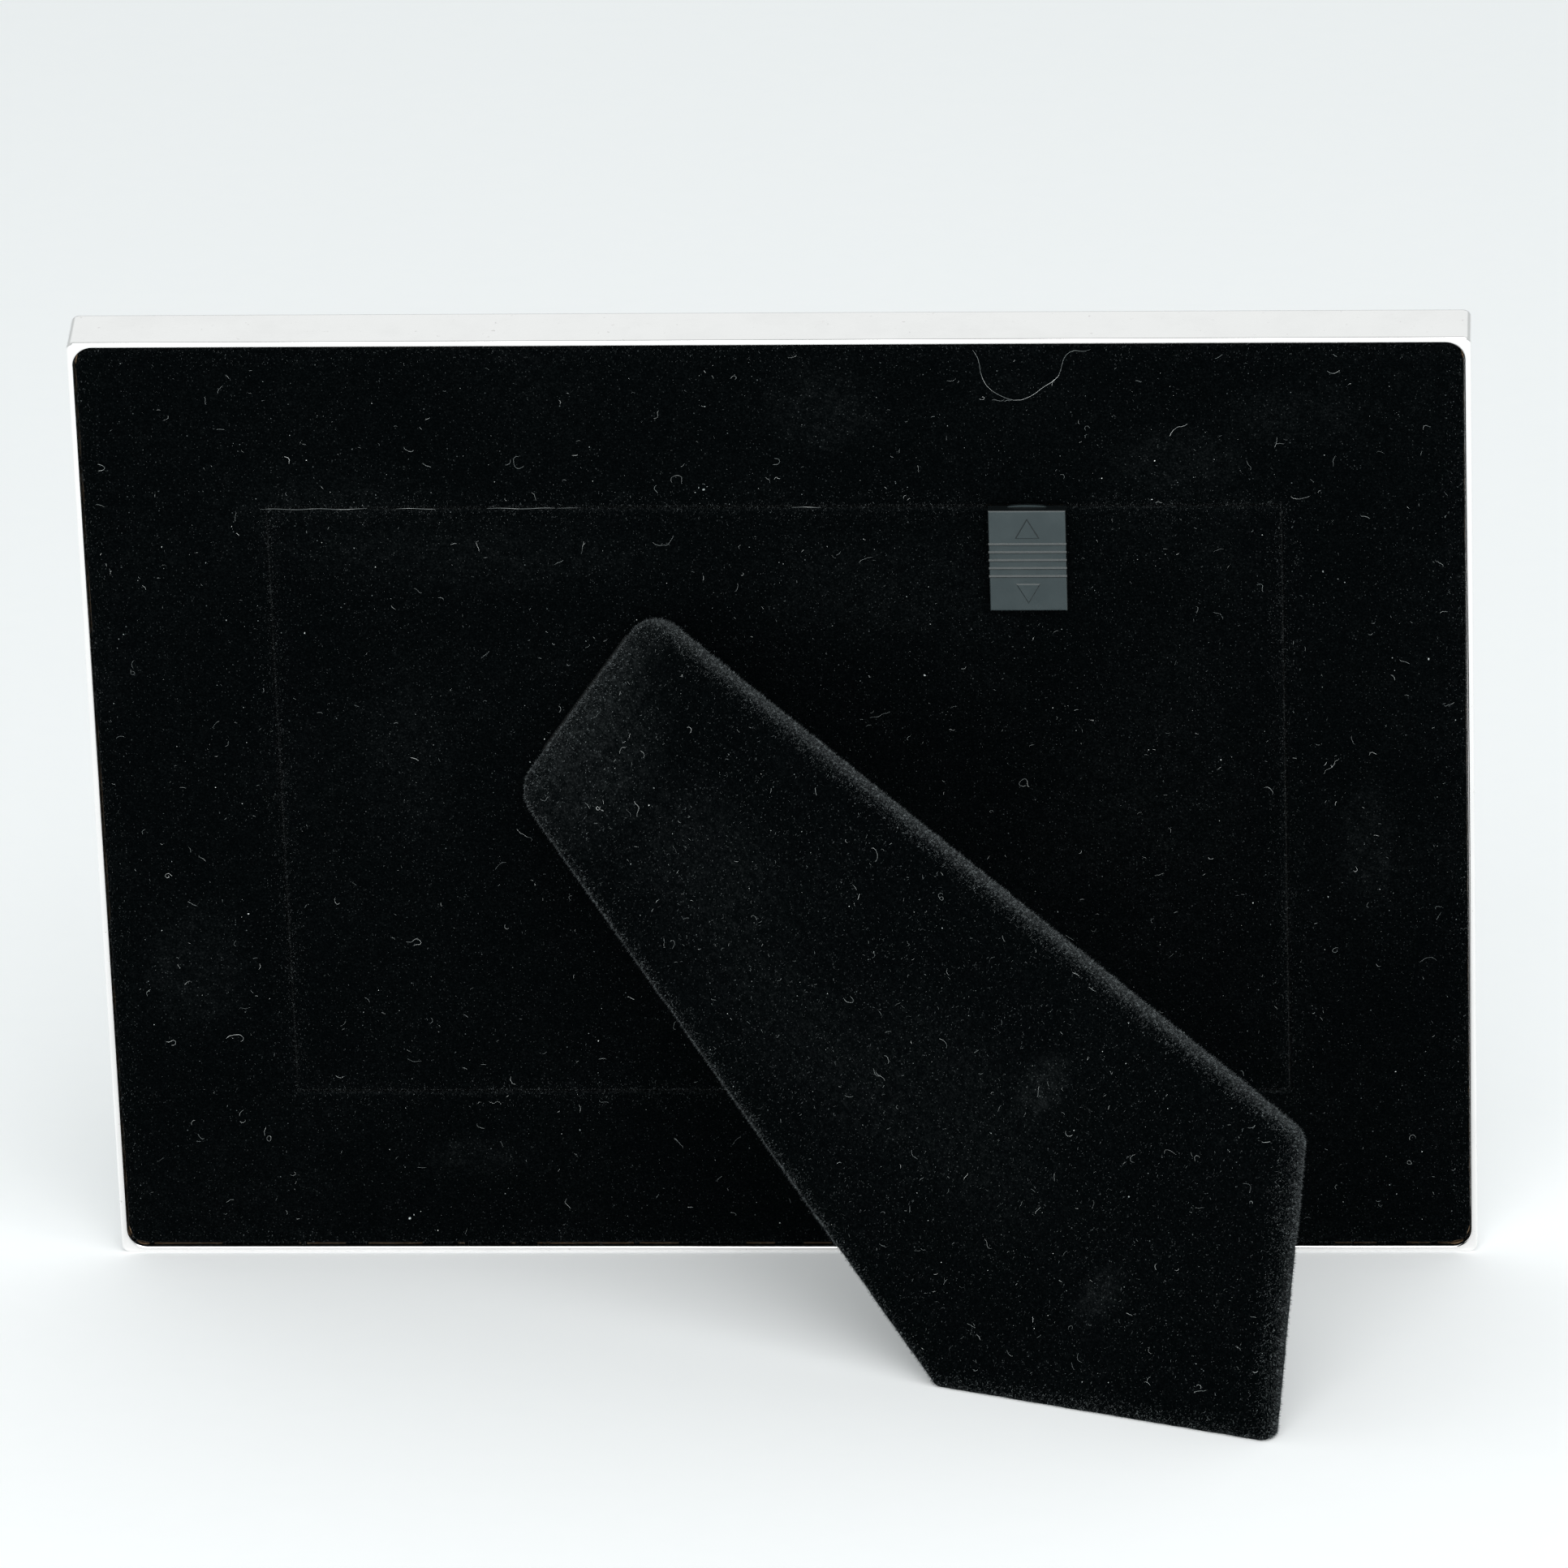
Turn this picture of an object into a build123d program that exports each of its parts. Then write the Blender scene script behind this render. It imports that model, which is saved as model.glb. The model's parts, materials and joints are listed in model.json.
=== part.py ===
"""A table photo frame, standing on its long side and leaning back on its easel strut.

A plated metal tray holds the glass, the photo and a fibreboard filler. Velvet covers the back,
its latched door, and the strut, which is hinged on the door. Two edges of the strut's foot let
the frame stand on its long side, as here, or on its short side.
"""

from build123d import *

import os
from math import cos, hypot, radians, sin, tan

# Plated tray, and how it stands
width = 215.0
height = 163.0
depth = 10.0
sheet = 1.0
corner_radius = 1.2
inner_corner = 3.0
front_round = 1.1
rim_round = 0.4
window_round = 0.5
lean = 12.5
side_lean = 19.2

# Photo and what lies with it, front to back
photo_width = 152.0
photo_height = 101.6
glass = 2.0
photo = 0.3
backing = 1.0
photo_lap = 3.0
pocket_gap = 0.4
spacer_gap = 0.5

# Back panel and door
board = 2.5
velvet = 0.8
velvet_sunk = 0.5
velvet_round = 0.5
panel_gap = 0.2
door_lap_x = 1.6
door_lap_y = 0.8
door_corner = 0.6
door_gap = 0.5
lining = 0.2

# Bowed springs that grip the opening along the door's lower edge
spring_spacing = 90.0
spring_length = 14.0
spring_thick = 0.3
spring_width = 1.6
spring_proud = 0.4
spring_seat = 0.6
spring_play = 0.5

# Latch
latch_u = 39.2
latch_width = 12.0
latch_height = 17.5
latch_thick = 1.8
latch_lap = 0.5
latch_float = 0.15
latch_round = 0.3
latch_travel = 4.0
ridge_pitch = 1.4
ridge_width = 0.45
ridge_height = 0.25
ridge_count = 5
ridge_drop = 5.8
arrow_width = 3.8
arrow_height = 3.5
arrow_raise = 0.15
arrow_slope = 45.0
arrow_margin = 1.3
lip_width = 6.0
lip_reach = 0.35
lip_thick = 0.5
stem = 5.0
stem_below_tip = 8.5
tongue_width = 9.0
tongue_length = 13.0
tongue = 1.0
tongue_setback = 0.5
slide_gap = 0.2
tongue_clearance = 0.05
tongue_rivet = 0.9

# Strut, hinged near its narrow end
strut_opening = 32.0
strut_angle = -34.3
hinge_u = -27.5
hinge_v = 18.3
strut_half_end = 19.1
upper_flare = 6.0
lower_flare = 11.3
end_overhang = 2.0
strut_board_thick = 2.4
strut_lining_thick = 0.3
end_radius = 5.0
foot_radius = 2.0
shoulder_radius = 3.5
least_radius = 0.4

# Hinge leaves, pin and rivets
leaf = 0.8
leaf_length = 13.0
leaf_half_width = 12.0
middle_knuckle = 9.6
knuckle_gap = 0.2
knuckle_radius = 1.2
pin_radius = 0.6
pin_play = 0.05
pin_end = 0.3
pin_lift = 0.05
window_gap = 0.15
heel_reach = 2.2
heel_inner = 0.9
heel_height = 0.42
stop_gap = 0.03
base_tail = 3.2
rivet_radius = 1.0
rivet_head = 1.9
rivet_head_height = 0.35
rivet_tail = 1.7
rivet_tail_height = 0.4
rivet_x = 7.5
rivet_y = 8.0

# Heights from the rim's back face, which is at 0, towards the viewer behind the frame
inside_front = sheet - depth
glass_back = inside_front + glass
photo_back = glass_back + photo
backing_back = photo_back + backing
velvet_top = -velvet_sunk
board_top = velvet_top - velvet
board_low = board_top - board
spacer_back = board_low - lining
pin_height = velvet_top + knuckle_radius + pin_lift

# Heights above the pin's axis, square to the strut
leaf_top = knuckle_radius
leaf_low = leaf_top - leaf
lining_top = leaf_top + strut_lining_thick
strut_board_top = lining_top + strut_board_thick
strut_top = strut_board_top + velvet

# Directions: right and up as seen from behind the frame, and out of its back
tilt = radians(lean)
right = Vector(-1, 0, 0)
up = Vector(0, sin(tilt), cos(tilt))
outward = Vector(0, cos(tilt), -sin(tilt))
closed_foot = right * cos(radians(strut_angle)) + up * sin(radians(strut_angle))
opened = radians(strut_opening)
foot = closed_foot * cos(opened) + outward * sin(opened)
strut_face = outward * cos(opened) - closed_foot * sin(opened)
across = strut_face.cross(foot)

# The rim's rounded lower edge and the strut's foot both stand on Z = 0
rim_drop = rim_round * (cos(tilt) + sin(tilt) - 1)
panel_centre = up * (height / 2) - Vector(0, 0, rim_drop)
hinge_centre = panel_centre + right * hinge_u + up * hinge_v + outward * pin_height


def crossing(first, second):
    """Point where two lines of the form a*x + b*y = c meet."""
    a, b, c = first
    d, e, f = second
    spread = a * e - b * d
    return ((c * e - b * f) / spread, (a * f - c * d) / spread)


def strut_sides():
    """Lines along the strut's five sides in its own plane, each with (a, b) pointing outwards."""
    end = (-1, 0, end_overhang)
    rise = tan(radians(upper_flare))
    fall = tan(radians(lower_flare))
    upper = (-rise, 1, strut_half_end + end_overhang * rise)
    lower = (-fall, -1, strut_half_end + end_overhang * fall)
    floor_point = hinge_centre + strut_face * strut_top
    floor = (-foot.Z, -across.Z, floor_point.Z)
    turned = right + outward * tan(radians(side_lean))
    side_point = hinge_centre + strut_face * leaf_top - panel_centre
    side = (foot.dot(turned), across.dot(turned), width / 2 - side_point.dot(turned))
    return [end, lower, floor, side, upper]


def strut_corners(inset):
    """Corners of the strut's outline, with every side moved in by inset."""
    sides = [(a, b, c - inset * hypot(a, b)) for a, b, c in strut_sides()]
    return [crossing(sides[i - 1], sides[i]) for i in range(len(sides))]


def strut_radii(inset):
    """Corner radii that go with strut_corners."""
    radii = [end_radius, end_radius, foot_radius, foot_radius, shoulder_radius]
    return [max(radius - inset, least_radius) for radius in radii]


# Middle of the footprint on the Y axis
foot_x, foot_y = strut_corners(foot_radius)[3]
foot_arc = hinge_centre + foot * foot_x + across * foot_y + strut_face * strut_top
reach_back = foot_arc.Y + foot_radius * hypot(foot.Y, across.Y)
reach_front = -depth * cos(tilt)
to_middle = Vector(0, -(reach_back + reach_front) / 2, 0)

# Working planes
back = Plane(origin=panel_centre + to_middle, x_dir=right, z_dir=outward)
strut = Plane(origin=hinge_centre + to_middle, x_dir=foot, z_dir=strut_face)
base = Plane(origin=hinge_centre + to_middle, x_dir=closed_foot, z_dir=outward)
pin_plane = Plane(origin=strut.origin, x_dir=foot, z_dir=across)
out_axis = Axis(back.origin, outward)
strut_axis = Axis(strut.origin, strut_face)

inner_width = width - 2 * sheet
inner_height = height - 2 * sheet
panel_width = inner_width - 2 * panel_gap
panel_height = inner_height - 2 * panel_gap
panel_corner = inner_corner - panel_gap
window_width = photo_width - 2 * photo_lap
window_height = photo_height - 2 * photo_lap
rebate_width = photo_width + 2 * pocket_gap
rebate_height = photo_height + 2 * pocket_gap
door_width = rebate_width + 2 * door_lap_x
door_height = rebate_height + 2 * door_lap_y
opening_width = door_width + 2 * door_gap
opening_height = door_height + 2 * door_gap
door_low = -door_height / 2
spring_places = [(-spring_spacing / 2, 0), (spring_spacing / 2, 0)]
spring_low = board_low + (board - spring_width) / 2

# Latch places up the door, with the latch at the lower end of its travel
tongue_tip = door_height / 2 - tongue_setback
stem_v = tongue_tip - stem_below_tip
slot_length = stem + latch_travel + 2 * slide_gap
slot_v = stem_v + latch_travel / 2
latch_top = door_height / 2 + latch_lap
latch_low_face = velvet_top + latch_float
latch_face = latch_low_face + latch_thick
tongue_low = board_low + tongue_clearance
tongue_top = tongue_low + tongue
tongue_roof = tongue_top + tongue_clearance

# ---- Frame ----

with BuildPart() as metal_frame:
    with BuildSketch(back.offset(-depth)):
        RectangleRounded(width, height, corner_radius)
    extrude(amount=depth)
    with BuildSketch(back.offset(inside_front)):
        RectangleRounded(inner_width, inner_height, inner_corner)
    extrude(amount=-inside_front, mode=Mode.SUBTRACT)
    with BuildSketch(back.offset(-depth)):
        Rectangle(window_width, window_height)
    extrude(amount=sheet, mode=Mode.SUBTRACT)
    front = metal_frame.faces().sort_by(out_axis)[0]
    fillet(front.outer_wire().edges(), front_round)
    front = metal_frame.faces().sort_by(out_axis)[0]
    fillet(front.inner_wires()[0].edges(), window_round)
    rim = metal_frame.faces().sort_by(out_axis)[-1]
    fillet(rim.outer_wire().edges(), rim_round)
    rim = metal_frame.faces().sort_by(out_axis)[-1]
    fillet(rim.inner_wires()[0].edges(), rim_round)

with BuildPart() as glass_pane:
    with BuildSketch(back.offset(inside_front)):
        Rectangle(photo_width, photo_height)
    extrude(amount=glass)

with BuildPart() as photo_insert:
    with BuildSketch(back.offset(glass_back)):
        Rectangle(photo_width, photo_height)
    extrude(amount=photo)

with BuildPart() as backing_card:
    with BuildSketch(back.offset(photo_back)):
        Rectangle(photo_width, photo_height)
    extrude(amount=backing)

with BuildPart() as spacer_card:
    with BuildSketch(back.offset(backing_back)):
        Rectangle(photo_width - 2 * spacer_gap, photo_height - 2 * spacer_gap)
    extrude(amount=spacer_back - backing_back)

with BuildPart() as filler_frame:
    with BuildSketch(back.offset(inside_front)):
        RectangleRounded(panel_width, panel_height, panel_corner)
        Rectangle(rebate_width, rebate_height, mode=Mode.SUBTRACT)
    extrude(amount=board_low - inside_front)

with BuildPart() as back_board:
    with BuildSketch(back.offset(board_low)):
        RectangleRounded(panel_width, panel_height, panel_corner)
        RectangleRounded(opening_width, opening_height, door_corner, mode=Mode.SUBTRACT)
    extrude(amount=board)
    # Underside cut away above the door, where the latch slides in
    with BuildSketch(back.offset(board_low)):
        with Locations((latch_u, door_height / 2)):
            Rectangle(tongue_width + 2 * slide_gap, 2 * (latch_travel + slide_gap))
    extrude(amount=tongue_roof - board_low, mode=Mode.SUBTRACT)

with BuildPart() as back_velvet:
    with BuildSketch(back.offset(board_top)):
        RectangleRounded(panel_width, panel_height, panel_corner)
        RectangleRounded(opening_width, opening_height, door_corner, mode=Mode.SUBTRACT)
    extrude(amount=velvet)
    nap = back_velvet.faces().sort_by(out_axis)[-1]
    fillet(nap.outer_wire().edges(), velvet_round)

# ---- Door ----

with BuildPart() as door_board:
    with BuildSketch(back.offset(board_low)):
        RectangleRounded(door_width, door_height, door_corner)
    extrude(amount=board)
    with BuildSketch(back.offset(board_low)):
        with Locations((latch_u, slot_v)):
            Rectangle(stem + 2 * slide_gap, slot_length)
    extrude(amount=board, mode=Mode.SUBTRACT)
    # Channel for the latch's tongue, open at the door's upper edge
    with BuildSketch(back.offset(board_low)):
        with Locations((latch_u, tongue_tip - tongue_length - slide_gap)):
            Rectangle(tongue_width + 2 * slide_gap, 2 * tongue_length, align=(Align.CENTER, Align.MIN))
    extrude(amount=tongue_roof - board_low, mode=Mode.SUBTRACT)
    # Seats for the springs in the lower edge
    with BuildSketch(back.offset(spring_low)):
        with Locations((0, door_low)):
            with Locations(spring_places):
                Rectangle(spring_length + spring_play, 2 * spring_seat)
    extrude(amount=spring_width, mode=Mode.SUBTRACT)
    # Holes and tail recesses for the hinge's rivets
    with BuildSketch(base.offset(board_low - pin_height)):
        with Locations((rivet_x, -rivet_y), (rivet_x, rivet_y)):
            Circle(rivet_radius)
    extrude(amount=board, mode=Mode.SUBTRACT)
    with BuildSketch(base.offset(board_low - pin_height)):
        with Locations((rivet_x, -rivet_y), (rivet_x, rivet_y)):
            Circle(rivet_tail)
    extrude(amount=rivet_tail_height, mode=Mode.SUBTRACT)

with BuildPart() as door_velvet:
    with BuildSketch(back.offset(board_top)):
        RectangleRounded(door_width, door_height, door_corner)
    extrude(amount=velvet)
    nap = door_velvet.faces().sort_by(out_axis)[-1]
    fillet(nap.outer_wire().edges(), velvet_round)
    with BuildSketch(back.offset(board_top)):
        with Locations((latch_u, slot_v)):
            Rectangle(stem + 2 * slide_gap, slot_length)
    extrude(amount=velvet, mode=Mode.SUBTRACT)
    with BuildSketch(base.offset(board_top - pin_height)):
        with Locations((rivet_x, -rivet_y), (rivet_x, rivet_y)):
            Circle(rivet_radius)
    extrude(amount=velvet, mode=Mode.SUBTRACT)

with BuildPart() as door_lining:
    with BuildSketch(back.offset(board_low - lining)):
        Rectangle(photo_width - 2 * spacer_gap, photo_height - 2 * spacer_gap)
    extrude(amount=lining)

with BuildPart() as door_springs:
    with BuildSketch(back.offset(spring_low)):
        with Locations((0, door_low)):
            with Locations(spring_places):
                with BuildSketch(mode=Mode.PRIVATE) as bow:
                    half = spring_length / 2
                    seat = spring_seat
                    with BuildLine():
                        ThreePointArc((-half, seat), (0, spring_thick - spring_proud), (half, seat))
                        Line((half, seat), (half, seat - spring_thick))
                        ThreePointArc(
                            (half, seat - spring_thick), (0, -spring_proud), (-half, seat - spring_thick)
                        )
                        Line((-half, seat - spring_thick), (-half, seat))
                    make_face()
                add(bow.sketch)
    extrude(amount=spring_width)

# ---- Latch ----

with BuildPart() as latch_button:
    with BuildSketch(back.offset(latch_low_face)):
        with Locations((latch_u, latch_top)):
            Rectangle(latch_width, latch_height, align=(Align.CENTER, Align.MAX))
    extrude(amount=latch_thick)
    fillet(latch_button.faces().sort_by(out_axis)[-1].edges(), latch_round)
    # Rounded lip along the seam
    with BuildSketch(back.offset(latch_low_face)):
        with Locations((latch_u, latch_top)):
            Ellipse(lip_width / 2, lip_reach)
    extrude(amount=lip_thick)
    with BuildSketch(back.offset(tongue_top)):
        with Locations((latch_u, stem_v)):
            Rectangle(stem, stem)
    extrude(amount=latch_low_face - tongue_top)
    with BuildSketch(back.offset(tongue_top)):
        with Locations((latch_u, stem_v)):
            Circle(tongue_rivet)
    extrude(amount=board, mode=Mode.SUBTRACT)
    # Finger ridges across the face, each a low roof
    for i in range(ridge_count):
        ridge_v = latch_top - ridge_drop - i * ridge_pitch
        ridge_end = back.origin + right * (latch_u - latch_width / 2) + up * ridge_v
        ridge_end = ridge_end + outward * latch_face
        with BuildSketch(Plane(origin=ridge_end, x_dir=up, z_dir=right)):
            with BuildLine():
                Polyline(
                    (-ridge_width / 2, 0), (0, -ridge_height), (ridge_width / 2, 0), (0, ridge_height),
                    close=True,
                )
            make_face()
        extrude(amount=latch_width)
    # One raised arrow near each end
    with BuildSketch(back.offset(latch_face)):
        with BuildLine():
            top = latch_top - arrow_margin
            Polyline(
                (latch_u, top),
                (latch_u - arrow_width / 2, top - arrow_height),
                (latch_u + arrow_width / 2, top - arrow_height),
                close=True,
            )
        make_face()
        with BuildLine():
            bottom = latch_top - latch_height + arrow_margin
            Polyline(
                (latch_u, bottom),
                (latch_u + arrow_width / 2, bottom + arrow_height),
                (latch_u - arrow_width / 2, bottom + arrow_height),
                close=True,
            )
        make_face()
    extrude(amount=arrow_raise, taper=arrow_slope)

with BuildPart() as latch_tongue:
    with BuildSketch(back.offset(tongue_low)):
        with Locations((latch_u, tongue_tip)):
            Rectangle(tongue_width, tongue_length, align=(Align.CENTER, Align.MAX))
    extrude(amount=tongue)
    with BuildSketch(back.offset(tongue_low)):
        with Locations((latch_u, stem_v)):
            Circle(tongue_rivet)
    extrude(amount=tongue, mode=Mode.SUBTRACT)

with BuildPart() as latch_rivet:
    with BuildSketch(back.offset(tongue_low)):
        with Locations((latch_u, stem_v)):
            Circle(tongue_rivet)
    extrude(amount=tongue + board)

# ---- Hinge on the door ----

with BuildPart() as hinge_base:
    with BuildSketch(base.offset(velvet_top - pin_height)):
        with Locations((-base_tail, 0)):
            Rectangle(base_tail + leaf_length, 2 * leaf_half_width, align=(Align.MIN, Align.CENTER))
    extrude(amount=leaf)
    for side in (-1, 1):
        outer_knuckle = leaf_half_width - middle_knuckle / 2 - knuckle_gap
        with BuildSketch(pin_plane.offset(side * leaf_half_width)):
            Circle(knuckle_radius)
        extrude(amount=-side * outer_knuckle)
    # Window that the strut's knuckle turns in
    with BuildSketch(base.offset(velvet_top - pin_height)):
        reach = 2 * (knuckle_radius + window_gap)
        Rectangle(reach, middle_knuckle + 2 * knuckle_gap)
        with Locations((rivet_x, -rivet_y), (rivet_x, rivet_y)):
            Circle(rivet_radius)
    extrude(amount=leaf, mode=Mode.SUBTRACT)
    with BuildSketch(pin_plane.offset(-leaf_half_width)):
        Circle(pin_radius)
    extrude(amount=2 * leaf_half_width, mode=Mode.SUBTRACT)

with BuildPart() as hinge_pin:
    with BuildSketch(pin_plane.offset(-leaf_half_width - pin_end)):
        Circle(pin_radius)
    extrude(amount=2 * (leaf_half_width + pin_end))

with BuildPart() as hinge_base_rivets:
    with BuildSketch(base.offset(board_low - pin_height)):
        with Locations((rivet_x, -rivet_y), (rivet_x, rivet_y)):
            Circle(rivet_radius)
    extrude(amount=board + velvet + leaf)
    with BuildSketch(base.offset(board_low - pin_height)):
        with Locations((rivet_x, -rivet_y), (rivet_x, rivet_y)):
            Circle(rivet_tail)
    extrude(amount=rivet_tail_height)
    with BuildSketch(base.offset(velvet_top + leaf - pin_height)):
        with Locations((rivet_x, -rivet_y), (rivet_x, rivet_y)):
            Circle(rivet_head)
    extrude(amount=rivet_head_height)
    fillet(hinge_base_rivets.faces().group_by(out_axis)[-1].edges(), rivet_head_height / 2)

# ---- Strut ----

with BuildPart() as strut_leaf:
    with BuildSketch(strut.offset(leaf_low)):
        with Locations((knuckle_radius + knuckle_gap, 0)):
            Rectangle(
                leaf_length - knuckle_radius - knuckle_gap, 2 * leaf_half_width,
                align=(Align.MIN, Align.CENTER),
            )
        Rectangle(leaf_length, middle_knuckle, align=(Align.MIN, Align.CENTER))
        with Locations((rivet_x, -rivet_y), (rivet_x, rivet_y)):
            Circle(rivet_radius, mode=Mode.SUBTRACT)
    extrude(amount=leaf)
    with BuildSketch(pin_plane.offset(-middle_knuckle / 2)):
        Circle(knuckle_radius)
    extrude(amount=middle_knuckle)
    # Heel that meets the base when the strut is fully open
    with BuildSketch(base.offset(velvet_top + leaf + stop_gap - pin_height)):
        with Locations((-heel_reach, 0)):
            Rectangle(heel_reach - heel_inner, middle_knuckle, align=(Align.MIN, Align.CENTER))
    extrude(amount=heel_height)
    with BuildSketch(pin_plane.offset(-middle_knuckle / 2)):
        Circle(pin_radius + pin_play)
    extrude(amount=middle_knuckle, mode=Mode.SUBTRACT)

with BuildPart() as strut_lining:
    with BuildSketch(strut.offset(leaf_top)):
        with BuildLine():
            FilletPolyline(*strut_corners(velvet), radius=strut_radii(velvet), close=True)
        make_face()
        with Locations((knuckle_radius, 0)):
            Rectangle(
                2 * leaf_length, 2 * strut_half_end,
                align=(Align.MAX, Align.CENTER), mode=Mode.SUBTRACT,
            )
        with Locations((rivet_x, -rivet_y), (rivet_x, rivet_y)):
            Circle(rivet_radius, mode=Mode.SUBTRACT)
    extrude(amount=strut_lining_thick)
    split(bisect_by=Plane.XY.offset(velvet), keep=Keep.TOP)

with BuildPart() as strut_board:
    with BuildSketch(strut.offset(lining_top)):
        with BuildLine():
            FilletPolyline(*strut_corners(velvet), radius=strut_radii(velvet), close=True)
        make_face()
        with Locations((rivet_x, -rivet_y), (rivet_x, rivet_y)):
            Circle(rivet_radius, mode=Mode.SUBTRACT)
    extrude(amount=strut_board_thick)
    with BuildSketch(strut.offset(strut_board_top - rivet_tail_height)):
        with Locations((rivet_x, -rivet_y), (rivet_x, rivet_y)):
            Circle(rivet_tail)
    extrude(amount=rivet_tail_height, mode=Mode.SUBTRACT)
    split(bisect_by=Plane.XY.offset(velvet), keep=Keep.TOP)

with BuildPart() as strut_velvet:
    with BuildSketch(strut.offset(leaf_top)):
        with BuildLine():
            FilletPolyline(*strut_corners(0), radius=strut_radii(0), close=True)
        make_face()
    extrude(amount=strut_top - leaf_top)
    fillet(strut_velvet.faces().sort_by(strut_axis)[-1].edges(), velvet_round)
    split(bisect_by=Plane.XY, keep=Keep.TOP)
    # Room for the board and its lining, above the part of the velvet that is turned under the foot
    with BuildSketch(strut.offset(leaf_top)):
        with BuildLine():
            FilletPolyline(*strut_corners(velvet), radius=strut_radii(velvet), close=True)
        make_face()
    core = extrude(amount=strut_board_top - leaf_top, mode=Mode.PRIVATE)
    add(core.split(Plane.XY.offset(velvet), keep=Keep.TOP), mode=Mode.SUBTRACT)

with BuildPart() as strut_rivets:
    with BuildSketch(strut.offset(leaf_low)):
        with Locations((rivet_x, -rivet_y), (rivet_x, rivet_y)):
            Circle(rivet_radius)
    extrude(amount=strut_board_top - leaf_low)
    with BuildSketch(strut.offset(strut_board_top - rivet_tail_height)):
        with Locations((rivet_x, -rivet_y), (rivet_x, rivet_y)):
            Circle(rivet_tail)
    extrude(amount=rivet_tail_height)
    with BuildSketch(strut.offset(leaf_low - rivet_head_height)):
        with Locations((rivet_x, -rivet_y), (rivet_x, rivet_y)):
            Circle(rivet_head)
    extrude(amount=rivet_head_height)
    fillet(strut_rivets.faces().group_by(strut_axis)[0].edges(), rivet_head_height / 2)

# ---- Files ----

os.makedirs("parts", exist_ok=True)
pieces = {
    "metal_frame": metal_frame, "glass_pane": glass_pane, "photo_insert": photo_insert,
    "backing_card": backing_card, "spacer_card": spacer_card, "filler_frame": filler_frame,
    "back_board": back_board, "back_velvet": back_velvet, "door_board": door_board,
    "door_velvet": door_velvet, "door_lining": door_lining, "door_springs": door_springs,
    "latch_button": latch_button, "latch_tongue": latch_tongue,
    "latch_rivet": latch_rivet, "hinge_base": hinge_base, "hinge_pin": hinge_pin,
    "hinge_base_rivets": hinge_base_rivets, "strut_leaf": strut_leaf, "strut_lining": strut_lining,
    "strut_board": strut_board, "strut_velvet": strut_velvet, "strut_rivets": strut_rivets,
}
for name, piece in pieces.items():
    piece.part.label = name
    export_step(piece.part, f"parts/{name}.step")

print("strut corners", [(round(x, 1), round(y, 1)) for x, y in strut_corners(0)])
print("panel centre", back.origin, "hinge pin", strut.origin, "pin direction", across)
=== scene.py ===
# %% [markdown]
# # A table photo frame, seen from behind
#
# The measured model already holds every part of a table photo frame: a plated metal tray, the glass
# and the photo, a velvet back with a lift-out door, a plastic latch, and an easel strut on a small
# steel hinge. This lesson dresses that model. Most of the work is one fabric, a black velvet that
# shows every bit of lint. The rest is polished metal, moulded plastic, steel, board and paper.
#
# The model comes in as fixed objects, in metres, with Z up and the frame standing on Z = 0. They
# are never moved. Where a plain shape isn't good enough, a new piece is built over it.

import json
from collections import namedtuple
from math import ceil, cos, hypot, pi, radians, sin, sqrt

import bpy
import numpy as np
from mathutils import Matrix, Quaternion, Vector, noise


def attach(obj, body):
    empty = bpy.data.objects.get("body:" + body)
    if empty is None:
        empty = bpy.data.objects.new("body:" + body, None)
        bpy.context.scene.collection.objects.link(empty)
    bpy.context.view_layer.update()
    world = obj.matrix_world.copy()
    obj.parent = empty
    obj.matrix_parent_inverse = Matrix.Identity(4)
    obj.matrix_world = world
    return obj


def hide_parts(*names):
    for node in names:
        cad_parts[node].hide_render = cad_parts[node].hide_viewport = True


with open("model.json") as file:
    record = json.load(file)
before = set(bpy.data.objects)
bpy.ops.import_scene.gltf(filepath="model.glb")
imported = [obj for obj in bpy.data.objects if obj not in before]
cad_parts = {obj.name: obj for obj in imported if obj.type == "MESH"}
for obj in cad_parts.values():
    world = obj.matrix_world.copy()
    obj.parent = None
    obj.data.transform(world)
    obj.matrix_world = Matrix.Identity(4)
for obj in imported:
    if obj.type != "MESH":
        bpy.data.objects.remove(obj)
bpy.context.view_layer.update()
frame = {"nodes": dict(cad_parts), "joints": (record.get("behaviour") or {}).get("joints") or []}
mm = 0.001
scene = bpy.context.scene

# %% [markdown]
# ## Two sets of directions
#
# The frame leans back on its strut, so its own right, up and outward directions aren't the world's.
# The joints know them already: the door lifts straight out of the back, and the strut turns on its
# hinge pin. Each velvet piece is built flat, in its panel's own directions, and then placed by one
# matrix. That keeps the sums simple, and gives the fabric's pattern a flat place to live.

# %% Directions of the back panel and of the strut
joints = {joint["name"]: joint for joint in frame["joints"]}
outward = Vector(joints["door_lift"]["axis"])
right = Vector((-1, 0, 0))
up = outward.cross(right)
pin = Vector(joints["strut_hinge"]["pos_m"])
pin_axis = Vector(joints["strut_hinge"]["axis"])
strut_opening = radians(-joints["strut_hinge"]["range_deg"][0])
travel = joints["latch_slide"]["range_m"][1]
strut_out = Quaternion(pin_axis, strut_opening) @ outward
strut_across = -pin_axis
strut_along = strut_across.cross(strut_out)


def placed(origin, x_axis, z_axis):
    """Matrix that carries a flat piece to its panel."""
    turn = Matrix((x_axis, z_axis.cross(x_axis), z_axis)).transposed()
    return Matrix.Translation(origin) @ turn.to_4x4()


def span(node, direction):
    """Lowest and highest reach of a node along a direction."""
    reach = [vertex.co.dot(direction) for vertex in frame["nodes"][node].data.vertices]
    return min(reach), max(reach)


def middle(low_high):
    return (low_high[0] + low_high[1]) / 2


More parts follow.
